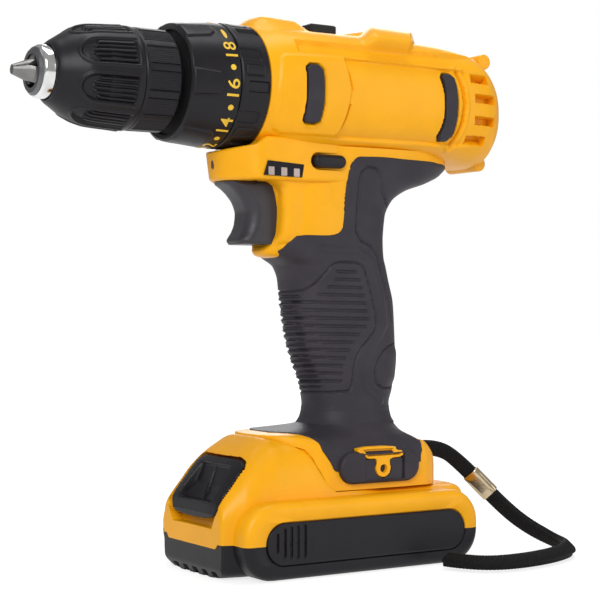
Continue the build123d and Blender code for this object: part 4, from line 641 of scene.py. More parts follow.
# Pad on the shell's side: its outline shrinks towards its middle as it rises over a rounded edge.
def sidePad(outline, proud, edge, side):
    ring = resampled(rounded(outline, 1), 140)
    middle = ring.mean(0)
    reach = np.linalg.norm(ring - middle, axis=1, keepdims=True)
    turn = quarterTurn(7)
    insets = np.concatenate([[0.0, 0.0], edge * (1 - np.cos(turn))[1:], [edge + 0.6, edge + 1.4]])
    lifts = np.concatenate([[-2.0, proud - edge], proud - edge + edge * np.sin(turn)[1:], [proud, proud]])
    plans = [(ring - (ring - middle) / reach * inset, lift) for inset, lift in zip(insets, lifts)]
    plans += [(middle + (plans[-1][0] - middle) * share, proud) for share in (0.75, 0.5, 0.25)]
    rows = []
    for flat, lift in plans:
        x, z = flat.T
        rows.append(pointsAt(x, side * (barrelSide(x, z) + lift), z))
    return np.stack(rows)


for side, word in sides:
    for end, proud in (("front", 1.7), ("rear", 1.3)):
        points = sidePad(barrel[end + "Pad"], proud, 0.9, side)
        skin(f"bumper_{end}_{word}", points, "housing", "soft_grip", sharpest=38.0)


# ---- soft grip and trigger housing
grip = {
    "stations": (52, 58, 63, 68, 75, 90, 100, 112, 122, 128, 132, 136, 141, 150, 157, 162, 166, 170, 174, 180),
    "front": (
        -14, -8.6, -4.8, -4.0, -5.4, -11.4, -14.2, -16, -16.6, -18.5, -24, -27.5, -27, -26, -27, -29, -30, -30,
        -30, -30,
    ),
    "rear": (
        46, 38.6, 35.3, 34.6, 36.7, 38.6, 38.3, 37.4, 34.6, 32.6, 31, 30.3, 29.8, 30.4, 34, 42, 54.5, 63, 66.5,
        66.5,
    ),
    "half": (
        21, 18.2, 16.6, 15.8, 15.6, 16, 16.1, 16.2, 16.2, 16.3, 16.4, 16.5, 16.6, 17, 17.6, 18.2, 18.8, 19.4, 20,
        20.8,
    ),
    "squareness": (
        2.6, 2.4, 2.3, 2.25, 2.25, 2.25, 2.25, 2.3, 2.4, 2.6, 2.9, 3.1, 3.3, 3.4, 3.3, 3, 2.7, 2.5, 2.4, 2.3,
    ),
    "skinArea": (
        (90, 173.6), (62, 174.6), (50, 175.2), (11.0, 175.6), (7.4, 174.6), (4.8, 171.2), (3.0, 160), (3.1, 145.8),
        (1.5, 142.6), (-3.0, 141.1), (-18.5, 141.2), (-21.5, 139.5), (-24.2, 135.3), (-27, 132.2), (-60, 131.0),
        (-60, 40), (90, 40),
    ),
    "thumbLine": (
        (27.3, 155.1), (22.9, 160.5), (21, 167.9), (18.2, 170.5), (13.6, 170.8), (11, 168.3), (10.2, 165.5),
        (10, 154.4), (9.7, 143.2), (12.4, 139.1), (18.4, 136.9), (22, 133.2), (27.2, 119.1), (31.9, 104.4),
    ),
    "palmPad": (
        (-30, 116.8), (-14.1, 117), (-9.5, 119.8), (-5.5, 124.4), (-1.9, 129.1), (2.2, 129.9), (11.9, 129.7),
        (14.8, 126.5), (19.8, 111.5), (21.6, 102.1), (18.5, 98.3), (11.5, 91.9), (9, 84.4), (8.7, 76.9),
        (6.8, 73.7), (-30, 73.8),
    ),
    "softLine": (
        (-7.2, 135), (10.1, 134.8), (18.5, 130.3), (23.9, 117.2), (26.6, 103), (18.4, 92.7), (13.9, 84.3),
        (16.3, 74.9), (23.8, 69.9),
    ),
    "heelLine": (
        (33.5, 94.5), (28.5, 93.4), (25, 91.2), (22, 87.6), (20.4, 83.6), (20.3, 80), (21.7, 77), (25, 75.2),
        (31, 75.2),
    ),
    "ribLeft": (0.3, -0.5, -3.4, -7.3, -15, -14.6, -14.1, -13.7, -13, -12.2, -11.2, -10.2, -8.8, -7.5, -6.6),
    "ribRight": (10.2, 12, 13.1, 14.3, 15.3, 16, 17, 15.4, 11.8, 9.3, 7, 5.3, 4.4, 4.1, 3.9),
    "ribTop": 125.6,
    "ribPitch": 3.36,
    "stripLevels": (75.0, 116.5),
    "toothPitch": 2.3,
}


# Grip skin: a squared oval at each level, by angle about its middle, with its outward normal.
def gripSkin(levels, columns):
    z = np.asarray(levels, float)[:, None]
    front, rear, half, square = sizesAt(grip, z, "front", "rear", "half", "squareness")
    angle = wholeTurn(columns)[None]
    middle, deep = (front + rear) / 2, (rear - front) / 2
    # Even steps round a circle, stretched to the oval, keep the spacing even at its ends.
    spread = np.arctan2(np.sin(angle) * (half / deep) ** 0.5, np.cos(angle))
    c, s = np.cos(spread), np.sin(spread)
    radius = squaredOval(c, s, deep, half, square)
    x, y = radius * c, radius * s
    nx = np.sign(x) * np.abs(x / deep) ** (square - 1) / deep
    ny = np.sign(y) * np.abs(y / half) ** (square - 1) / half
    length = np.hypot(nx, ny)
    return x + middle, y, z + np.zeros_like(x), nx / length, ny / length


# Rise of the soft skin: proud inside its area and sunk outside, with lines, ribs and teeth cut in it.
def gripRelief(x, z, nx):
    bump = -1.6 + 2.0 * ease(-outlineDistance(x, z, rounded(grip["skinArea"], 1)), -0.35, 0.25)
    for line in ("thumbLine", "heelLine"):
        bump -= 0.7 * fade(lineDistance(x, z, grip[line]), 0.2, 0.6)
    bump += 0.5 * fade(lineDistance(x, z, grip["softLine"]), 0.3, 2.6)
    pad = outlineDistance(x, z, rounded(grip["palmPad"], 1))
    bump -= 0.7 * fade(np.abs(pad), 0.2, 0.6) * (x > -18)
    for step, (left, right) in enumerate(zip(grip["ribLeft"], grip["ribRight"])):
        level = grip["ribTop"] - grip["ribPitch"] * step
        gap = np.hypot(np.maximum(np.maximum(left - x, x - right), 0), z - level - 0.02 * (right - x))
        bump -= 0.75 * fade(gap, 0.25, 0.8)
    low, high = grip["stripLevels"]
    strip = ease(-nx, 0.72, 0.86) * ease(z, low, low + 1) * fade(z, high - 1, high)
    teeth = np.abs(np.mod(z / grip["toothPitch"], 1.0) - 0.5) * 2
    bump -= strip * 0.9 * ease(teeth, 0.35, 0.75)
    # The lower heel pad bulges a little between its line and the spine.
    heel = ease(x, 22, 30) * ease(z, 76, 80) * fade(z, 90, 94)
    return bump + 0.6 * heel


x, y, z, nx, ny = gripSkin(np.linspace(60.0, 178.0, 310), 270)
bump = gripRelief(x, z, nx)
gripPoints = pointsAt(x + bump * nx, y + bump * ny, z)
skin("softGrip", gripPoints, "housing", "soft_grip", ["grip_left", "grip_right"])

# The yellow part of the handle is the same form, sunk where the soft skin covers it.
x, y, z, nx, ny = gripSkin(np.linspace(127.0, 179.0, 120), 260)
covered = ease(-outlineDistance(x, z, rounded(grip["skinArea"], 1)), 0.3, 0.9)
mark = {"centre": (-7.7, 158.8), "radius": 4.7}
ring = np.abs(np.hypot(x - mark["centre"][0], z - mark["centre"][1]) - mark["radius"])
bump = 0.15 - 2.2 * covered - 0.25 * fade(ring, 0.2, 0.55)
skin("handleShell", pointsAt(x + bump * nx, y + bump * ny, z), "housing", "yellow_shell")

# Block round the trigger: levels of a rounded plan whose front leans back, then reaches out as a guard.
block = {
    "stations": (131.5, 132.0, 132.9, 134.2, 135.6, 136.8, 138.6, 142, 150, 157, 160.5, 163, 166),
    "front": (-25.0, -28.0, -29.8, -30.3, -29.6, -28.4, -27.4, -26.0, -25.4, -25.6, -26.6, -29.5, -34.0),
    "half": (5.4, 7.4, 8.8, 9.8, 11.0, 12.4, 14.0, 15.2, 15.8, 16.2, 16.6, 17.0, 17.4),
    "rear": -4.0,
    "rounding": (5.0, 7.0, 8.3, 8.6, 8.6, 7.6, 5.5, 3.6, 3.6, 3.6, 3.6, 3.6, 3.6),
}


# Rounded plan: corners of a rectangle turned with quarter arcs, evenly sampled.
def roundedPlan(front, rear, half, rounding, count):
    sizes = (front, rear, half, rounding)
    front, rear, half, rounding = (np.broadcast_to(size, np.shape(front))[:, None] for size in sizes)
    turns = np.concatenate([quarterTurn(count // 4) + step * np.pi / 2 for step in range(4)])[None]
    signX = np.repeat((1, -1, -1, 1), count // 4)[None]
    signY = np.repeat((1, 1, -1, -1), count // 4)[None]
    middle, deep = (front + rear) / 2, (rear - front) / 2
    x = middle + signX * (deep - rounding) + rounding * np.cos(turns)
    y = signY * (half - rounding) + rounding * np.sin(turns)
    return x, y


levels = np.concatenate([np.linspace(131.5, 139, 34), np.linspace(139.4, 166, 40)])
front, half, rounding = sizesAt(block, levels, "front", "half", "rounding")
x, y = roundedPlan(front, block["rear"], half, rounding, 80)
points = pointsAt(x, y, levels[:, None])
skin("triggerHousing", points, "housing", "yellow_shell", sharpest=60.0)

# Chin under the collars: an upright wall on a rounded plan, its top hollowed to clear the rings.
chin = {
    "halfPlan": ((-52.4, 3.5), (-50.6, 8.0), (-46.8, 13.0), (-42.5, 17.2), (-38.0, 19.4), (24, 19.5)),
    "low": 163.4,
    "edge": 1.8,
    "clearRadius": 27.0,
    "window": ((-38.0, 165.2), (-36.0, 171.3), (-18.5, 170.3), (-19.5, 164.8)),
    "buttonCentre": (-6.0, 172.2),
    "buttonHalf": (8.2, 3.0),
}


# Height of the chin's rim, hollowed in front to clear the rings above it.
def chinTop(x, y):
    flat = np.interp(x, (-55.5, -48, -41, -36, 24), (174.8, 176.6, 178.0, 181.5, 182.0))
    hollow = axisHeight - np.sqrt(np.clip(chin["clearRadius"] ** 2 - y * y, 0, None))
    return np.where(x < -37.5, np.minimum(flat, hollow), flat)


# Distance beyond a level capsule.
def capsuleGap(x, z, centre, half):
    return np.hypot(np.clip(np.abs(x - centre[0]) - half[0] + half[1], 0, None), z - centre[1]) - half[1]


halfPlan = np.array(chin["halfPlan"])
ringPlan = resampled(rounded(np.concatenate([halfPlan, (halfPlan * (1, -1))[::-1]]), 3), 440)
turn = quarterTurn(8)
insets = [[9.0, 5.0], chin["edge"] * (1 - np.sin(turn)), np.zeros(52), 0.9 * (1 - np.cos(turn[1:])), [2.5, 5.0, 9.0]]
shares = [[0, 0], 0.12 * (1 - np.cos(turn)), np.linspace(0.13, 0.93, 52), 0.93 + 0.07 * np.sin(turn[1:]), [1, 1, 1]]
insets, shares = np.concatenate(insets), np.concatenate(shares)
outwardWay = outwardOf(ringPlan)
plan = ringPlan[None] - outwardWay[None] * insets[:, None, None]
top = chinTop(plan[..., 0], plan[..., 1])
z = chin["low"] + shares[:, None] * (top - chin["low"])
x, y = plan[..., 0], plan[..., 1]
wall = ease(np.abs(outwardWay[None, :, 1]), 0.6, 0.9) * (insets[:, None] < 0.5)
sunk = 0.6 * fade(outlineDistance(x, z, chin["window"]), -0.9, -0.5) * (y < 0)
sunk = np.maximum(sunk, 2.0 * fade(capsuleGap(x, z, chin["buttonCentre"], chin["buttonHalf"]), 0.2, 0.7))
lean = 1.8 * (1 - shares[:, None]) * np.clip((-38.0 - x) / 10, 0, 1)
sunk = sunk * wall
chinPoints = pointsAt(x + lean - outwardWay[None, :, 0] * sunk, y - outwardWay[None, :, 1] * sunk, z)
skin("chinShell", chinPoints, "housing", "yellow_shell")

# Gauge pane with its three lamps.
pane = resampled(chin["window"], 60)
paneMiddle = pane.mean(0)
paneRows = []
for share, depth in ((1.0, 18.0), (1.0, 19.55), (0.99, 19.62), (0.5, 19.62)):
    flat = paneMiddle + (pane - paneMiddle) * share
    paneRows.append(pointsAt(flat[:, 0], -depth, flat[:, 1]))
skin("gaugePane", np.stack(paneRows), "housing", "window", ["charge_window"], sharpest=38.0)


# Small slab on the left side: a rounded rectangle raised over a soft edge.
def sideSlab(name, centre, half, base, top, edge, corner, body, slotName, material):
    ring = oblong((0, 0), half, corner, 6)
    turn = quarterTurn(5)
    rows = []
    for inset, depth in [(0.0, base)] + list(zip(edge * (1 - np.cos(turn)), top - edge + edge * np.sin(turn))):
        flat = ring * ((np.array(half) - inset) / np.array(half)) + centre
        rows.append(pointsAt(flat[:, 0], -depth, flat[:, 1]))
    return skin(name, np.stack(rows), body, slotName, sharpest=38.0, material=material)


gaugeLamp = moulded("gaugeLamps", (0.42, 0.34, 0.31), {"rough": 0.4, "drift": 0.15})
for number, (lampX, lampZ) in enumerate(((-34.6, 167.0), (-28.4, 166.9), (-22.2, 166.7)), 1):
    name = f"gaugeLamp_{number}"
    sideSlab(name, (lampX, lampZ), (1.45, 1.75), 19.0, 19.7, 0.1, 0.3, "housing", "lens", gaugeLamp)

# Direction button: a long capsule through the chin, its ends domed and ribbed.
button = {"half": (8.0, 2.85), "reach": 21.9}
turn = quarterTurn(10)
angle = wholeTurn(96)
middleX, middleZ = chin["buttonCentre"]
rows = []
for side, steps in ((-1, turn[::-1]), (1, turn)):
    for step in steps:
        shrink, depth = np.cos(step), button["reach"] - 2.0 + 2.0 * np.sin(step)
        halfX, halfZ = button["half"][0] - 1.8 * (1 - shrink), button["half"][1] * (0.35 + 0.65 * shrink)
        capX = np.sign(np.cos(angle)) * (halfX - halfZ) + halfZ * np.cos(angle)
        rows.append(pointsAt(middleX + capX, side * depth, middleZ + halfZ * np.sin(angle)))
skin("directionButton", np.stack(rows), "direction_button", "satin_black", ["direction_button"], sharpest=38.0)

# Trigger: plans whose front corners are well rounded, stacked along a hollowed finger curve.
trigger = {
    "stations": (137.0, 139.0, 142.5, 146, 150, 154, 158, 161, 163.0),
    "front": (-42.2, -41.6, -39.4, -38.1, -37.7, -38.9, -41.9, -45.6, -49.4),
    "half": 8.9,
    "rear": -19.5,
    "corner": 5.2,
}
low, high = trigger["stations"][0], trigger["stations"][-1]
levels = np.linspace(low, high, 90)
front = sizesAt(trigger, levels, "front")[0]
ends = 1.6 * (np.exp(-(((levels - low) / 0.9) ** 2)) + np.exp(-(((levels - high) / 0.7) ** 2)))
x, y = roundedPlan(front + ends * 0.6, trigger["rear"], trigger["half"] - ends * 0.4, trigger["corner"], 96)
hollow = np.clip((front[:, None] + 4.0 - x) / 4.0, 0, 1) * (1 - (y / trigger["half"]) ** 2)
x = x - 0.6 * hollow
points = pointsAt(x, y, levels[:, None])
triggerSatin = moulded("triggerSatin", (0.040, 0.037, 0.043), {"rough": 0.40, "shine": 0.3})
skin("triggerPull", points, "trigger", "satin_black", ["trigger"], sharpest=60.0, material=triggerSatin)
print("grip, chin and trigger shaped")

# ---- foot, hook sockets and lug
foot = {
    "middle": (15.0, 0.0),
    "plan": (
        (-36, 0), (-35.6, 8), (-33, 14), (-29.5, 18.5), (-25.5, 21.3), (-21, 23.6), (-17.5, 25.5), (-14, 27.2),
        (-10, 28), (38, 28), (46.3, 24.3), (49.6, 17), (49.8, 0),
    ),
    "seam": (
        (-60, 56.1), (-36, 56.1), (-33, 55.4), (-29.5, 54), (-25.5, 52.6), (-21, 51.4), (-18.5, 49), (-17, 45.5),
        (-15, 41.9), (-12.4, 36.8), (-9.5, 33.5), (90, 33.5),
    ),
    "rimAt": (-36, -30, -25, -18, -10, 20, 37, 44, 50),
    "rimHeight": (56.9, 56.6, 55.6, 53.6, 51.4, 50.8, 51.2, 48.6, 45.6),
    "rimSoft": (0.4, 0.7, 1.6, 2.6, 3.4, 3.6, 3.2, 2.8, 2.4),
    "sideArea": (
        (-60, 90), (-60, 53.6), (-17.3, 53.6), (-15.1, 51.6), (-13, 48.5), (-10.7, 45.2), (-9, 41.9), (-7, 41.2),
        (36.3, 41.2), (37.2, 50.2), (60, 51.2), (60, 90),
    ),
    "planArea": (
        (-29.3, 0), (-28.8, 8), (-25.5, 14), (-21.5, 18.6), (-17.5, 22.0), (-15, 25.5), (-13, 30), (36.6, 31),
        (38, 24.3), (45.5, 17), (50.4, 9), (50.6, 0),
    ),
    "railHalf": 22.7,
    "neckHalf": 19.5,
    "skinLow": 41.6,
    "shellLow": 33.5,
    "neckTop": 36.6,
    "railTop": 41.3,
    "railRear": 47.1,
    "columns": 400,
    "rows": 104,
}


# Whole plan outline from the half on the +Y side.
def wholePlan(half):
    half = np.asarray(half, float)
    return np.concatenate([half, (half * (1, -1))[-2:0:-1]])


# Distance from a middle to a closed outline in given directions.
def radialReach(outline, middle, angles):
    ring = resampled(outline, 2400) - middle
    turned = np.arctan2(ring[:, 1], ring[:, 0])
    order = np.argsort(turned)
    return np.interp(angles, turned[order], np.hypot(ring[:, 0], ring[:, 1])[order], period=2 * np.pi)


# Outward unit normals of a closed grid of points: the cross product of its two tangents.
def gridNormals(points):
    down = np.gradient(points, axis=0)
    along = np.roll(points, -1, axis=1) - np.roll(points, 1, axis=1)
    normal = np.cross(along, down)
    normal = normal / (np.linalg.norm(normal, axis=2, keepdims=True) + 1e-9)
    return normal * np.sign((normal * (points - points.mean((0, 1)))).sum())


# Level of the seam between the foot and the pack.
def seamLevel(x):
    return np.interp(x, *np.transpose(foot["seam"]))


# Foot skin: from the neck each column flares out, rounds over the rim and drops to a lowest level.
def footSkin(lowest):
    middle = np.array(foot["middle"])
    rim = resampled(rounded(wholePlan(foot["plan"]), 1), foot["columns"])
    away = rim - middle
    reach = np.linalg.norm(away, axis=1)
    angles = np.arctan2(away[:, 1], away[:, 0])
    neckX, neckY = gripSkin([67.0], 400)[:2]
    neck = radialReach(np.stack([neckX[0], neckY[0]], -1), middle, angles) + 0.2
    span = reach - neck
    height, soft = (np.interp(rim[:, 0], foot["rimAt"], foot[key]) for key in ("rimHeight", "rimSoft"))
    bottom = np.maximum(seamLevel(rim[:, 0]), lowest)
    shelf = np.minimum(4.5, span * 0.38)
    flat = np.zeros_like(span)
    out = np.stack([flat, flat + 0.2, flat + 1.0, shelf, span - soft, span, span, span])
    up = np.stack([
        flat + 67.0, flat + 63.0, flat + 60.6, 60.4 - 0.3 * (60.4 - height), height + 0.8 * soft,
        np.maximum(height - 0.45 * soft, bottom + 0.25), bottom + 0.2, bottom,
    ])
    profiles = np.stack([out + neck, up], -1)
    columns = [rounded(profiles[:, column], 3, closed=False) for column in range(len(rim))]
    radial = np.stack([resampled(column, foot["rows"], closed=False) for column in columns], 1)
    direction = away / reach[:, None]
    return np.concatenate([middle + direction * radial[..., :1], radial[..., 1:]], -1), direction, reach


# Distance outside the soft skin's area: below its side outline or beyond its plan outline.
def softGap(points):
    side = outlineDistance(points[..., 0], points[..., 2], rounded(foot["sideArea"], 1))
    plan = outlineDistance(points[..., 0], np.abs(points[..., 1]), foot["planArea"] + ((50.6, -1), (-29.3, -1)))
    return np.maximum(side, plan)


# The soft skin stands proud in its area and dives under the shell outside it.
points = footSkin(foot["skinLow"])[0]
bump = -1.4 + 1.75 * ease(-softGap(points), -0.3, 0.3)
skin("softFoot", points + gridNormals(points) * bump[..., None], "housing", "soft_grip")

# The shell below has the battery's guide in its underside: a neck between ledges, then a wider way.
points, direction, reach = footSkin(foot["shellLow"])
bump = -1.4 * ease(-softGap(points), 0.3, 0.9) * ease(points[..., 2], 33.6, 35.0)
points = points + gridNormals(points) * bump[..., None]
across = np.abs(direction[:, 1]) + 1e-6
rearward = np.maximum(direction[:, 0], 1e-6)
toRear = np.where(direction[:, 0] > 0, (foot["railRear"] - foot["middle"][0]) / rearward, 1e9)
under = []
steps = (("neckHalf", "shellLow"), ("neckHalf", "neckTop"), ("railHalf", "neckTop"), ("railHalf", "railTop"))
for half, top in steps + ((None, "railTop"),):
    share = np.minimum(np.minimum(foot[half] / across, toRear), reach - 1.2) if half else np.full_like(reach, 2.0)
    flat = np.array(foot["middle"]) + direction * share[:, None]
    under.append(np.column_stack([flat, np.maximum(seamLevel(flat[:, 0]), foot[top])]))
skin("footShell", np.concatenate([points, np.stack(under)]), "housing", "yellow_shell")


# Bar with one outline between two levels along an axis, its edges rounded at either end.
def roundedBar(outline, low, high, edges, axis, count=160):
    ring = resampled(outline, count)
    turn = quarterTurn(6)
    insets = np.concatenate([edges[0] * (1 - np.sin(turn)), edges[1] * (1 - np.cos(turn))])
    levels = np.concatenate([low + edges[0] * (1 - np.cos(turn)), high - edges[1] + edges[1] * np.sin(turn)])
    rows = []
    for inset, level in zip(insets, levels):
        flat = drawnIn(ring, inset)
        rows.append(np.insert(flat, "xyz".index(axis), level, axis=1))
    return np.stack(rows)


lug = (
    (46, 33.6), (57.7, 33.6), (57.8, 38.6), (58.6, 39.8), (60.2, 43), (59.4, 45.6), (56.6, 49.2), (54, 51.0),
    (46, 51.8),
)
skin("strapLug", roundedBar(rounded(lug, 2), -5.4, 5.4, (1.4, 1.4), "y"), "housing", "yellow_shell")

# Work light: a small upright pane in the chin's nose.
lensRows = roundedBar(oblong((0, 170.2), (1.0, 1.9), 0.95), -51.9, -48.0, (0.3, 0.3), "x", 60)
skin("workLens", lensRows, "housing", "lens", ["work_light"])

# Sockets: an oblong cut by a slit, with the yellow seat of the belt hook let into it.
seat = (
    (1.3, 51.5), (20.9, 51.5), (21.6, 49.6), (25.1, 49.2), (25.1, 46.6), (18.3, 46.3), (18.0, 44.4), (18.7, 42.0),
    (17.6, 39.3), (14.7, 38.1), (11.8, 39.3), (10.7, 42.0), (11.4, 44.4), (11.2, 46.4), (6.2, 46.4), (5.0, 48.6),
    (1.6, 49.2),
)
seatPocket = ((4.3, 50.4), (19.6, 50.4), (19.6, 48.6), (23.6, 48.2), (23.6, 47.6), (6.6, 47.5), (5.6, 49.0))


# Flat face on a side: rows shrink an outline to its middle, sunk by a depth of their places.
def sideFace(outline, base, top, edge, side, sunk):
    ring = resampled(outline, 240)
    middle = ring.mean(0)
    brim = drawnIn(ring, edge)
    rows = [(ring, base), (ring, top - edge), (drawnIn(ring, 0.3 * edge), top - 0.3 * edge), (brim, top)]
    for share in np.linspace(1, 0, 49)[1:-1]:
        rows.append((middle + (brim - middle) * share, top))
    return np.stack([
        pointsAt(flat[:, 0], side * (depth - sunk(flat[:, 0], flat[:, 1]) * (row > 3)), flat[:, 1])
        for row, (flat, depth) in enumerate(rows)
    ])


# Depth of the pocket and the screw hole in the hook's seat.
def seatSunk(x, z):
    pocket = 1.3 * fade(outlineDistance(x, z, seatPocket), -0.25, 0.1)
    return np.maximum(pocket, 4.5 * fade(np.hypot(x - 14.8, z - 42.0), 1.6, 1.75))


# Depth of the slit, the web and the seat's bed in the socket.
def socketSunk(x, z):
    seatGap = outlineDistance(x, z, seat)
    slit = 1.6 * fade(np.abs(x - 25.2), 0.3, 0.5)
    web = 0.5 * ease(x, 5.2, 5.8) * fade(x, 24.4, 24.9)
    return np.maximum(np.maximum(slit, web), 1.9 * fade(seatGap, 0.1, 0.4))


socket = oblong((13.5, 42.75), (20.4, 6.75), 6.7)
for side, word in sides:
    points = sideFace(socket, 27.2, 30.4, 1.3, side, socketSunk)
    skin("hookSocket_" + word, points, "housing", "soft_grip", ["hook_socket_" + word])
    points = sideFace(rounded(seat, 1), 27.0, 30.2, 0.35, side, seatSunk)
    skin("hookSeat_" + word, points, "housing", "yellow_shell", sharpest=40.0)
print("foot shaped")

# ---- battery
pack = {
    "front": -61.6,
    "hoodEnd": -36.0,
    "stations": (-61.6, -60.8, -59.4, -57.6, -54, -50, -44, -40.5, -36, -30, -25, -18.5, -12.4, -9, 20, 55, 58.4),
    "top": (26.5, 31.2, 34.0, 36.6, 41.2, 46.2, 51.6, 54.0, 56.4, 57.4, 58.2, 57.6, 50.0, 44.0, 33.2, 33.2, 32.6),
    "half": (24.4, 25.4, 26.0, 26.6, 27.8, 29.0, 29.4, 29.4, 29.4, 29.4, 29.4, 29.4, 29.4, 29.4, 29.4, 29.4, 28.4),
    "square": (5.0, 4.4, 4.0, 3.8, 3.6, 3.5, 3.4, 3.3, 3.3, 3.2, 3.2, 3.1, 3.4, 4.0, 7.0, 7.0, 7.0),
    "middle": 17.0,
    "parting": 14.6,
    "nosePart": 12.6,
    "pocket": 9.2,
    "deck": 33.0,
    "columns": 264,
    "window": ((16.6, 20.6), (20.8, 28.6), (21.0, 37.0), (20.8, 44.6), (19.0, 47.2), (15.0, 48.6)),
}


def packBody(rows):
    nose = np.linspace(0.03, 1.0, 70)
    face = np.full(69, pack["front"])
    hood = pack["front"] + (pack["hoodEnd"] - pack["front"]) * np.linspace(0, 1, rows // 2) ** 1.4
    x = np.concatenate([face, hood, np.linspace(pack["hoodEnd"], 58.4, rows - rows // 2)[1:]])[:, None]
    share = np.concatenate([nose[:-1], np.ones(len(x) - 69)])[:, None]
    top, half, square = sizesAt(pack, x, "top", "half", "square")
    angle = wholeTurn(pack["columns"])[None]
    c, s = np.cos(angle), np.sin(angle)
    tall = np.where(s > 0, top - pack["middle"], pack["middle"])
    power = np.where(s > 0, square, 6.0)
    radius = share * squaredOval(c, s, half, tall, power)
    y, z = radius * c, pack["middle"] + radius * s
    x = x + np.zeros_like(y)
    # Under the foot the hood and the deck stay just clear of it.
    clear = ease(outlineDistance(x, np.abs(y), foot["plan"] + ((49.8, -1), (-36, -1))), -0.6, 0.1)
    lid = np.maximum(seamLevel(x) - 0.35, pack["deck"])
    z = np.where(z > lid, lid + (z - lid) * clear * (x < -9), z)
    return x, y, z


# Distance of a place on the front beyond the button's window.
def windowGap(y, z, outline):
    return outlineDistance(np.abs(y), z, outline + ((-1, outline[-1][1]), (-1, outline[0][1])))


# Level at which the cover meets the tray, lower at the nose.
def partLevel(x, y):
    low = fade(x, -61.0, -57.6) * fade(np.abs(y), 20.0, 22.0)
    return pack["parting"] - (pack["parting"] - pack["nosePart"]) * low


x, y, z = packBody(240)
inWindow = fade(windowGap(y, z, pack["window"]), -0.35, 0.1) * (x < pack["hoodEnd"]) * (z > pack["middle"])
coverPoints = pointsAt(x + pack["pocket"] * inWindow, y, np.maximum(z - inWindow, partLevel(x, y)))
skin("packCover", coverPoints, "battery", "yellow_shell", ["battery_cover"])

# The tray below is drawn in a little, with a row of notches along the foot of its nose.
x, y, z = packBody(120)
slim = 1 - 0.006 * (1 - ease(z, 0.0, 13.0) * 0.5)
notch = np.abs(np.mod(y / 8.2 + 0.5, 1.0) - 0.5) * 8.2
notched = fade(notch, 1.6, 2.0) * (np.abs(y) < 19) * fade(x, -60.1, -59.1) * fade(z, 2.4, 3.0)
leaned = 2.2 * fade(z, 0.0, 5.0) * fade(x, -61.5, -57.6)
partBefore = partLevel(x, y)
x = np.maximum(x, -61.3) + leaned + 1.6 * notched
trayPoints = pointsAt(x, y * slim, np.minimum(z, partBefore - 0.05))
skin("packTray", trayPoints, "battery", "satin_black", ["battery_tray"])

# Bulging sides: a rounded oblong along the whole width, with a shallow seat for the pad in each end.
bulge = oblong((2.1, 15.75), (59.1, 15.75), 14.0)
sideReach, sideEdge = 36.9, 3.6
bulgePoints = roundedBar(bulge, -sideReach, sideReach, (sideEdge, sideEdge), "y", 480)
seatRing = resampled(oblong((3.0, 14.8), (50.4, 8.9), 8.8), 480)
brim = drawnIn(resampled(bulge, 480), sideEdge)
seats = []
for share, depth in ((0.93, sideReach), (1.0, sideReach - 0.35), (1.0, sideReach - 1.3)):
    seats.append(np.insert(brim + (seatRing - brim) * share, 1, depth, axis=1))
seats = np.stack(seats)
bulgePoints = np.concatenate([(seats * (1, -1, 1))[::-1], bulgePoints, seats])
for name, slotName, cut in (("sideCover", "yellow_shell", np.maximum), ("sideTray", "satin_black", np.minimum)):
    cutPoints = bulgePoints.copy()
    cutPoints[..., 2] = cut(cutPoints[..., 2], pack["parting"])
    skin(name, cutPoints, "battery", slotName)


# Depth of the pad's slits, and of its plain part behind them.
def padSunk(x, z):
    slits = np.zeros_like(x)
    for middle, low, high in pad["slits"]:
        gap = np.hypot(x - middle, np.maximum(np.maximum(low - z, z - high), 0))
        slits = np.maximum(slits, 1.0 - ease(gap, 0.45, 0.75))
    return 0.9 * slits + 0.3 * ease(x, -25.6, -25.2)


# Pads: rows by station, each a loop up the face and down the back within a rounded oblong.
pad = {
    "middle": (3.0, 14.8),
    "half": (50.0, 8.5),
    "corner": 8.4,
    "back": 35.9,
    "face": 37.2,
    "edge": 0.45,
    "slits": ((-42.3, 12.2, 18.8), (-38.8, 9.8, 20.6), (-35.8, 9.4, 21.2), (-32.6, 9.2, 21.4), (-29.2, 9.2, 21.6)),
}
front = pad["middle"][0] - pad["half"][0] * np.cos(np.linspace(0, 0.2, 14))
rear = pad["middle"][0] + pad["half"][0] * np.cos(np.linspace(0.19, 0, 14))
x = np.concatenate([front, np.arange(-45.8, -24.6, 0.14), np.linspace(-24.4, 52, 60), rear])[:, None]
beyond = np.clip(np.abs(x - pad["middle"][0]) - pad["half"][0] + pad["corner"], 0, None)
tall = pad["half"][1] - pad["corner"] + np.sqrt(np.clip(pad["corner"] ** 2 - beyond * beyond, 0, None))
share = np.sin(np.linspace(-np.pi / 2, np.pi / 2, 64)) * 0.35 + np.linspace(-1, 1, 64) * 0.65
z = pad["middle"][1] + tall * share
x = x + np.zeros_like(z)
inward = np.clip(-outlineDistance(x, z, oblong(pad["middle"], pad["half"], pad["corner"])) / pad["edge"], 0, 1)
rim = pad["edge"] * (1 - np.sqrt(1 - (1 - inward) ** 2))
face = pad["face"] - rim - padSunk(x, z) * inward
for side, word in sides:
    front = pointsAt(x, side * face, z)
    back = pointsAt(x, side * pad["back"], z)[:, ::-4]
    skin("packPad_" + word, np.concatenate([front, back], 1), "battery", "satin_black", ["battery_pad_" + word])

# Rail on the deck that slides into the foot's guide.
for name, half, low, high in (("railNeck", 19.2, 32.0, 37.2), ("railFlange", 22.4, 36.8, 40.9)):
    rail = oblong((16.4, 0), (30.2, half), 1.6)
    skin(name, roundedBar(rail, low, high, (0.3, 0.6), "z"), "battery", "yellow_shell")


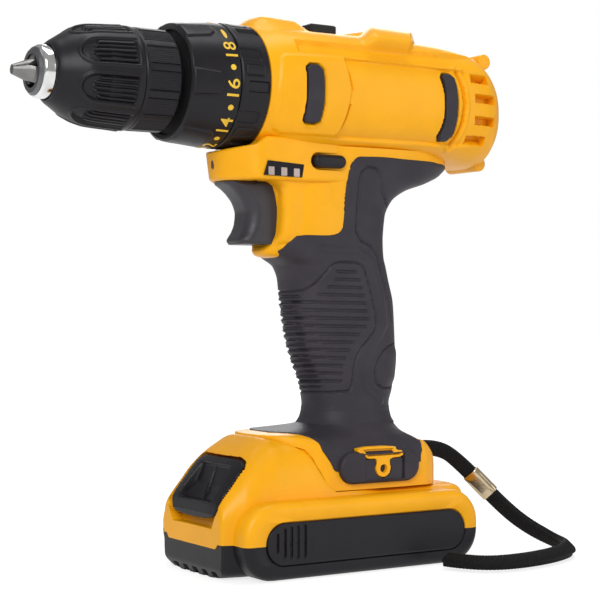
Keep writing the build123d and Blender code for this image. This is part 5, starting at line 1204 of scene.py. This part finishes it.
# Station of the pack's front at a place across and up: where its growing section first holds the place.
def frontAt(y, z):
    x = np.linspace(pack["front"], pack["hoodEnd"], 260)
    top, half, square = sizesAt(pack, x, "top", "half", "square")
    up = np.clip(z - pack["middle"], 0, None)[..., None]
    reach = (np.abs(y)[..., None] / half) ** square + (up / (top - pack["middle"])) ** square
    return x[np.argmax(reach < 1.0, axis=-1)]


# Release button: its face follows the pack's front, with a skirt behind it and a scoop for the finger.
release = {
    "outline": ((16.7, 23.6), (20.2, 28.8), (20.4, 37.0), (20.2, 44.2), (18.4, 46.7), (14.6, 48.0)),
    "scoop": ((-1, 45.6), (12.4, 45.6), (14.8, 33.0), (13.8, 30.6), (-1, 30.6)),
    "skirt": ((0.95, 2.4), (0.985, 1.2)),
    "columns": 220,
    "rows": 60,
}
half = np.array(release["outline"])
whole = np.concatenate([half, (half * (-1, 1))[::-1]])
ring = resampled(rounded(whole, 2), release["columns"])
centre = ring.mean(0)
rows = []
for share, lift in release["skirt"] + tuple((share, 0.0) for share in np.linspace(0.985, 0.0, release["rows"])[:-1]):
    across, up = (centre + (ring - centre) * share).T
    depth = lift or 0.5 * fade(1.0 - share, 0.0, 0.05)
    scoop = outlineDistance(np.abs(across), up, release["scoop"])
    sunk = fade(scoop, -1.6, 0.2) * np.interp(up, (30.8, 33.0, 45.6), (5.4, 5.2, 1.2)) * (not lift)
    rows.append(pointsAt(frontAt(across, up) + 0.45 + depth + sunk, across, up - 0.25 * sunk))
skin("releaseButton", np.stack(rows), "release_button", "satin_black", ["release_button"])
print("battery shaped")

# ---- chuck sleeves and collars
# Closed ring about the barrel's axis: its outer rows by angle up from the left side, then its bore.
def turnedRing(name, x, radius, bore, body, nodes, slotName="satin_black"):
    columns = radius.shape[1]
    angle = wholeTurn(columns)
    bore = np.asarray(bore, float)
    x = np.concatenate([x, bore[::-1, :1] + np.zeros(columns), x[:1]])
    radius = np.concatenate([radius, bore[::-1, 1:] + np.zeros(columns), radius[:1]])
    points = pointsAt(x, -radius * np.cos(angle), axisHeight + radius * np.sin(angle))
    return place(name, skinMesh(name, points, sharpest=45.0, capped=(False, False)), body, slotName, nodes)


# Angle in degrees from the nearest of evenly pitched places.
def offPitch(degrees, centre, pitch):
    return np.mod(degrees - centre + pitch / 2, pitch) - pitch / 2


# Grids of stations and of angles in degrees for a ring.
def ringGrid(front, rear, rows, columns):
    x = np.linspace(front, rear, rows)[:, None] + np.zeros(columns)
    return x, np.degrees(wholeTurn(columns))[None] + np.zeros((rows, 1))


# Front sleeve: an ogive with bullet-shaped finger pads, each with five ribs.
sleeve = {
    "stations": (-126.6, -126.0, -123, -118.5, -115, -110, -100, -93.3, -92.9),
    "radii": (11.3, 12.2, 14.3, 17.1, 18.9, 20.1, 20.8, 21.2, 20.9),
    "firstPad": -21.5,
    "padPitch": 45.0,
    "padRadius": 20.4,
    "padDepth": 1.25,
    "ribPitch": 2.05,
    "ribHeight": 1.0,
}
x, degrees = ringGrid(sleeve["stations"][0], sleeve["stations"][-1], 100, 540)
radius = sizesAt(sleeve, x, "radii")[0]
arc = np.radians(offPitch(degrees, sleeve["firstPad"], sleeve["padPitch"])) * sleeve["padRadius"]
pad = np.hypot(np.clip(-112.4 - x, 0, None) * 0.95, arc) - 5.9
floor = fade(pad, -1.2, -0.1) * fade(x, -96.2, -94.9)
crest = 0.4 * fade(np.abs(pad - 0.3), 0.15, 0.9) * fade(x, -95.5, -94.5)
rib = np.zeros_like(x)
for step in range(-2, 3):
    front = -113.4 + 0.55 * step * step
    gap = np.hypot(arc - sleeve["ribPitch"] * step, np.clip(np.maximum(front - x, x + 96.6), 0, None))
    rib = np.maximum(rib, fade(gap, 0.35, 0.8))
radius = radius - sleeve["padDepth"] * floor + sleeve["ribHeight"] * rib * floor + crest
bore = ((-126.6, 10.9), (-120.7, 10.9), (-113.2, 16.0), (-113.2, 18.1), (-108.4, 18.1), (-106.4, 19.5), (-92.9, 19.5))
turnedRing("frontSleeve", x, radius, bore, "chuck_sleeve", ["chuck_front_sleeve"])

# Bright ring round the nose, its lip rolled over.
nose = ((-131.3, 8.5), (-131.5, 8.9), (-131.4, 9.5), (-130.9, 10.2), (-130.0, 10.6), (-127.0, 10.7), (-123.0, 10.2))
nose = rounded(nose, 2, closed=False)
x, radius = (nose[:, axis][:, None] + np.zeros(200) for axis in (0, 1))
bore = ((-131.2, 8.4), (-130.9, 9.65), (-123.0, 9.65))
turnedRing("noseRing", x, radius, bore, "spindle", ["chuck_nose_ring"], "chrome")

# Rear sleeve: finely ridged between smooth raised bars.
x, degrees = ringGrid(-92.5, -76.7, 48, 900)
bar = np.abs(offPitch(degrees, 7.0, 30.0))
ends = ease(x, -91.4, -90.6) * fade(x, -77.6, -77.0)
ridges = 0.11 * np.cos(np.radians(degrees) * 150) * ease(bar, 4.6, 5.2) * ends
raised = 0.28 * fade(bar, 3.3, 4.1) * ease(x, -91.2, -90.0) * fade(x, -77.8, -77.0)
groove = 0.35 * fade(np.abs(bar - 4.5), 0.25, 0.7) * ease(x, -91.6, -91.0)
radius = 20.85 + ridges + raised - groove * ends - 0.5 * fade(x, -92.5, -91.9) - 0.5 * ease(x, -77.3, -76.7)
bore = ((-92.5, 19.6), (-79.8, 19.6), (-79.8, 16.7), (-76.7, 16.7))
turnedRing("rearSleeve", x, radius, bore, "spindle", ["chuck_rear_sleeve"])

# Torque collar: a cone with six raised tabs at its mouth and the setting numbers round its rear.
collar = {"stations": (-74, -73.2, -66, -53.0, -52.3), "radii": (23.3, 24.2, 25.0, 26.0, 25.6)}
x, degrees = ringGrid(collar["stations"][0], collar["stations"][-1], 80, 600)
radius = sizesAt(collar, x, "radii")[0]
tab = ((-80, 8.6), (-61.6, 4.8), (-59.9, 0.6), (-60.1, -10.2), (-62.4, -15.2), (-80, -18.4))
tab = [(station, 0.43 * (angle + 5.0)) for station, angle in tab]
gap = outlineDistance(x, 0.43 * offPitch(degrees, -5.0, 60.0), tab)
radius = radius + 0.55 * fade(gap, -0.5, 0.25) * ease(x, -74.0, -72.6) - 0.18 * fade(np.abs(gap - 0.6), 0.1, 0.5)
bore = ((-73.6, 22.6), (-73.2, 21.7), (-67.7, 21.7), (-67.7, 22.95), (-52.3, 22.95))
turnedRing("settingCollar", x, radius, bore, "torque_collar", ["torque_collar"])

# Mode ring: outlined blocks, open notches and shallow wide recesses in turn.
x, degrees = ringGrid(-52.0, -38.7, 56, 720)
radius = 26.3 - 0.5 * fade(x, -52.0, -51.4) - 0.4 * ease(x, -39.2, -38.7)


# Distance beyond a rounded patch of the ring, with its angle turned into millimetres.
def patchGap(centre, front, rear, half):
    side = np.abs(offPitch(degrees, centre, 60.0)) * 0.459 - half * 0.459 + 0.8
    along = np.abs(x - (front + rear) / 2) - (rear - front) / 2 + 0.8
    return np.hypot(np.clip(side, 0, None), np.clip(along, 0, None)) + np.minimum(np.maximum(side, along), 0) - 0.8


blockGap = patchGap(8.8, -50.2, -41.6, 5.0)
radius = radius - 0.45 * fade(np.abs(blockGap), 0.15, 0.5) + 0.1 * fade(blockGap, -0.6, 0)
radius = radius - 1.0 * fade(patchGap(-6.3, -49.2, -38.9, 5.4), -0.5, 0.0)
radius = radius - 0.8 * fade(patchGap(25.0, -53.0, -42.0, 6.4), -0.5, 0.0)
bore = ((-52.0, 22.95), (-38.7, 22.95))
turnedRing("modeCollar", x, radius, bore, "mode_ring", ["mode_ring"])

# Numbers and dots: set flat, then wrapped round the collar with their tops towards the chuck.
settingInk = moulded("settingInk", (0.80, 0.50, 0.03), {"rough": 0.45, "drift": 0.08})
dial = {"station": -56.1, "first": -264.0, "step": 36.5, "height": 5.5, "digit": 3.4, "dot": 1.2}


# Flat piece wrapped round the collar, in the setting ink.
def wrapped(name, flat, faces, centre):
    across, up, lift = flat.T
    station = dial["station"] - up
    radius = sizesAt(collar, station, "radii")[0] + 0.05 + lift
    angle = np.radians(centre) + across / radius
    mesh = bpy.data.meshes.new(name)
    points = pointsAt(station, -radius * np.cos(angle), axisHeight + radius * np.sin(angle))
    mesh.from_pydata((points * mm).tolist(), [], faces)
    mesh.update()
    return place(name, mesh, "torque_collar", "yellow_shell", (), settingInk)


for number in range(1, 10):
    curve = bpy.data.curves.new(f"number_{2 * number}", "FONT")
    curve.body = str(2 * number)
    curve.extrude = 0.01
    curve.offset = 0.006
    curve.resolution_u = 3
    flatPiece = bpy.data.objects.new(curve.name, curve)
    flatMesh = bpy.data.meshes.new_from_object(flatPiece)
    flat = np.array([tuple(vertex.co) for vertex in flatMesh.vertices])
    faces = [tuple(polygon.vertices) for polygon in flatMesh.polygons]
    low, high = flat.min(0), flat.max(0)
    wide = dial["digit"] * len(curve.body) + 0.35 * (len(curve.body) - 1)
    flat = (flat - (low + high) / 2) / (high - low) * (wide, dial["height"], 0.2)
    bpy.data.objects.remove(flatPiece)
    bpy.data.meshes.remove(flatMesh)
    wrapped(f"number_{2 * number}", flat, faces, dial["first"] + dial["step"] * (number - 1))
circle = dial["dot"] * np.stack([np.cos(wholeTurn(24)), np.sin(wholeTurn(24))], -1)
disc = np.concatenate([np.insert(circle, 2, lift, axis=1) for lift in (-0.1, 0.1)])
discFaces = [tuple(range(23, -1, -1)), tuple(range(24, 48))]
discFaces += [(k, (k + 1) % 24, 24 + (k + 1) % 24, 24 + k) for k in range(24)]
for number in range(9):
    wrapped(f"settingDot_{2 * number + 1}", disc, discFaces, dial["first"] + dial["step"] * (number - 0.5))
wrapped("drillMark", disc * (2.6, 0.7, 1.0), discFaces, dial["first"] + dial["step"] * 8.0 + 19.5)
print("chuck and collars shaped")

# Screw bosses at the barrel's rear.
for name, centre, reach in (("bossTop", (84.4, 222.9), 12.0), ("bossLow", (82.2, 176.2), 11.0)):
    points = roundedBar(oblong(centre, (3.5, 3.5), 3.49), -reach, reach, (0.8, 0.8), "y")
    skin(name, points, "housing", "yellow_shell", sharpest=38.0)

# ---- floor, lamps and world
# The paper glows white where the camera or a reflection sees it, and more so far from the camera.
floor = {
    "size": 6.0,
    "colour": (0.84, 0.84, 0.84, 1.0),
    "glow": 0.45,
    "haze": 0.6,
    "farFrom": (1.3, 2.0),
    "brightness": 1.3,
}
floorMesh = bpy.data.meshes.new("studioFloor")
reach = floor["size"] / 2
floorCorners = [(x * reach, y * reach, 0) for x, y in ((-1, -1), (1, -1), (1, 1), (-1, 1))]
floorMesh.from_pydata(floorCorners, [], [(0, 1, 2, 3)])
floorPiece = bpy.data.objects.new("studioFloor", floorMesh)
floorPiece.location = (0, 0, -0.0002)
scene.collection.objects.link(floorPiece)
paper, bench = newMaterial("studioPaper")
direct, glossy, through = bench.rays("Camera", "Glossy", "Transmission")
seen = glossy.maths("MAXIMUM", through) * floor["glow"]
far = bench.add("CameraData", output=2).rise(*floor["farFrom"])
seen = seen.maths("MAXIMUM", direct * (floor["haze"] + far * (1 - floor["haze"])))
matte = bench.add("BsdfDiffuse", values={"Color": floor["colour"]})
white = bench.add("Emission", values={"Color": (1, 1, 1, 1), "Strength": floor["brightness"]})
bench.show(bench.add("MixShader", values={0: seen, 1: matte, 2: white}))
floorMesh.materials.append(paper)

world = bpy.data.worlds.new("studioAir")
scene.world = world
world.use_nodes = True
bench = Bench(world.node_tree, "OutputWorld")
# The air lights the object dimly and shows white to the camera.
air = {"light": 0.38, "seen": 0.62}
direct, through = bench.rays("Camera", "Transmission")
strength = air["light"] + direct.maths("MAXIMUM", through) * air["seen"]
bench.show(bench.add("Background", values={"Color": (1, 1, 1, 1), "Strength": strength}))

lamps = {
    "keyLamp": {"place": (-1.1, -1.3, 1.0), "size": (0.9, 0.9), "power": 20.0},
    "fillLamp": {"place": (1.2, -1.5, 0.5), "size": (0.8, 1.2), "power": 5.5},
    "topLamp": {"place": (0.1, 0.1, 1.6), "size": (1.2, 0.6), "power": 9.5},
    "rimLamp": {"place": (0.9, 1.3, 0.8), "size": (0.8, 0.8), "power": 8.0},
}
for name, lamp in lamps.items():
    light = bpy.data.lights.new(name, "AREA")
    light.shape = "RECTANGLE"
    light.size, light.size_y = lamp["size"]
    light.energy = lamp["power"]
    holder = bpy.data.objects.new(name, light)
    holder.location = lamp["place"]
    aim = Vector((0, 0, 0.12)) - Vector(lamp["place"])
    holder.rotation_mode = "QUATERNION"
    holder.rotation_quaternion = aim.to_track_quat("-Z", "Y")
    scene.collection.objects.link(holder)
scene.view_settings.view_transform = "Standard"
print("studio lit")
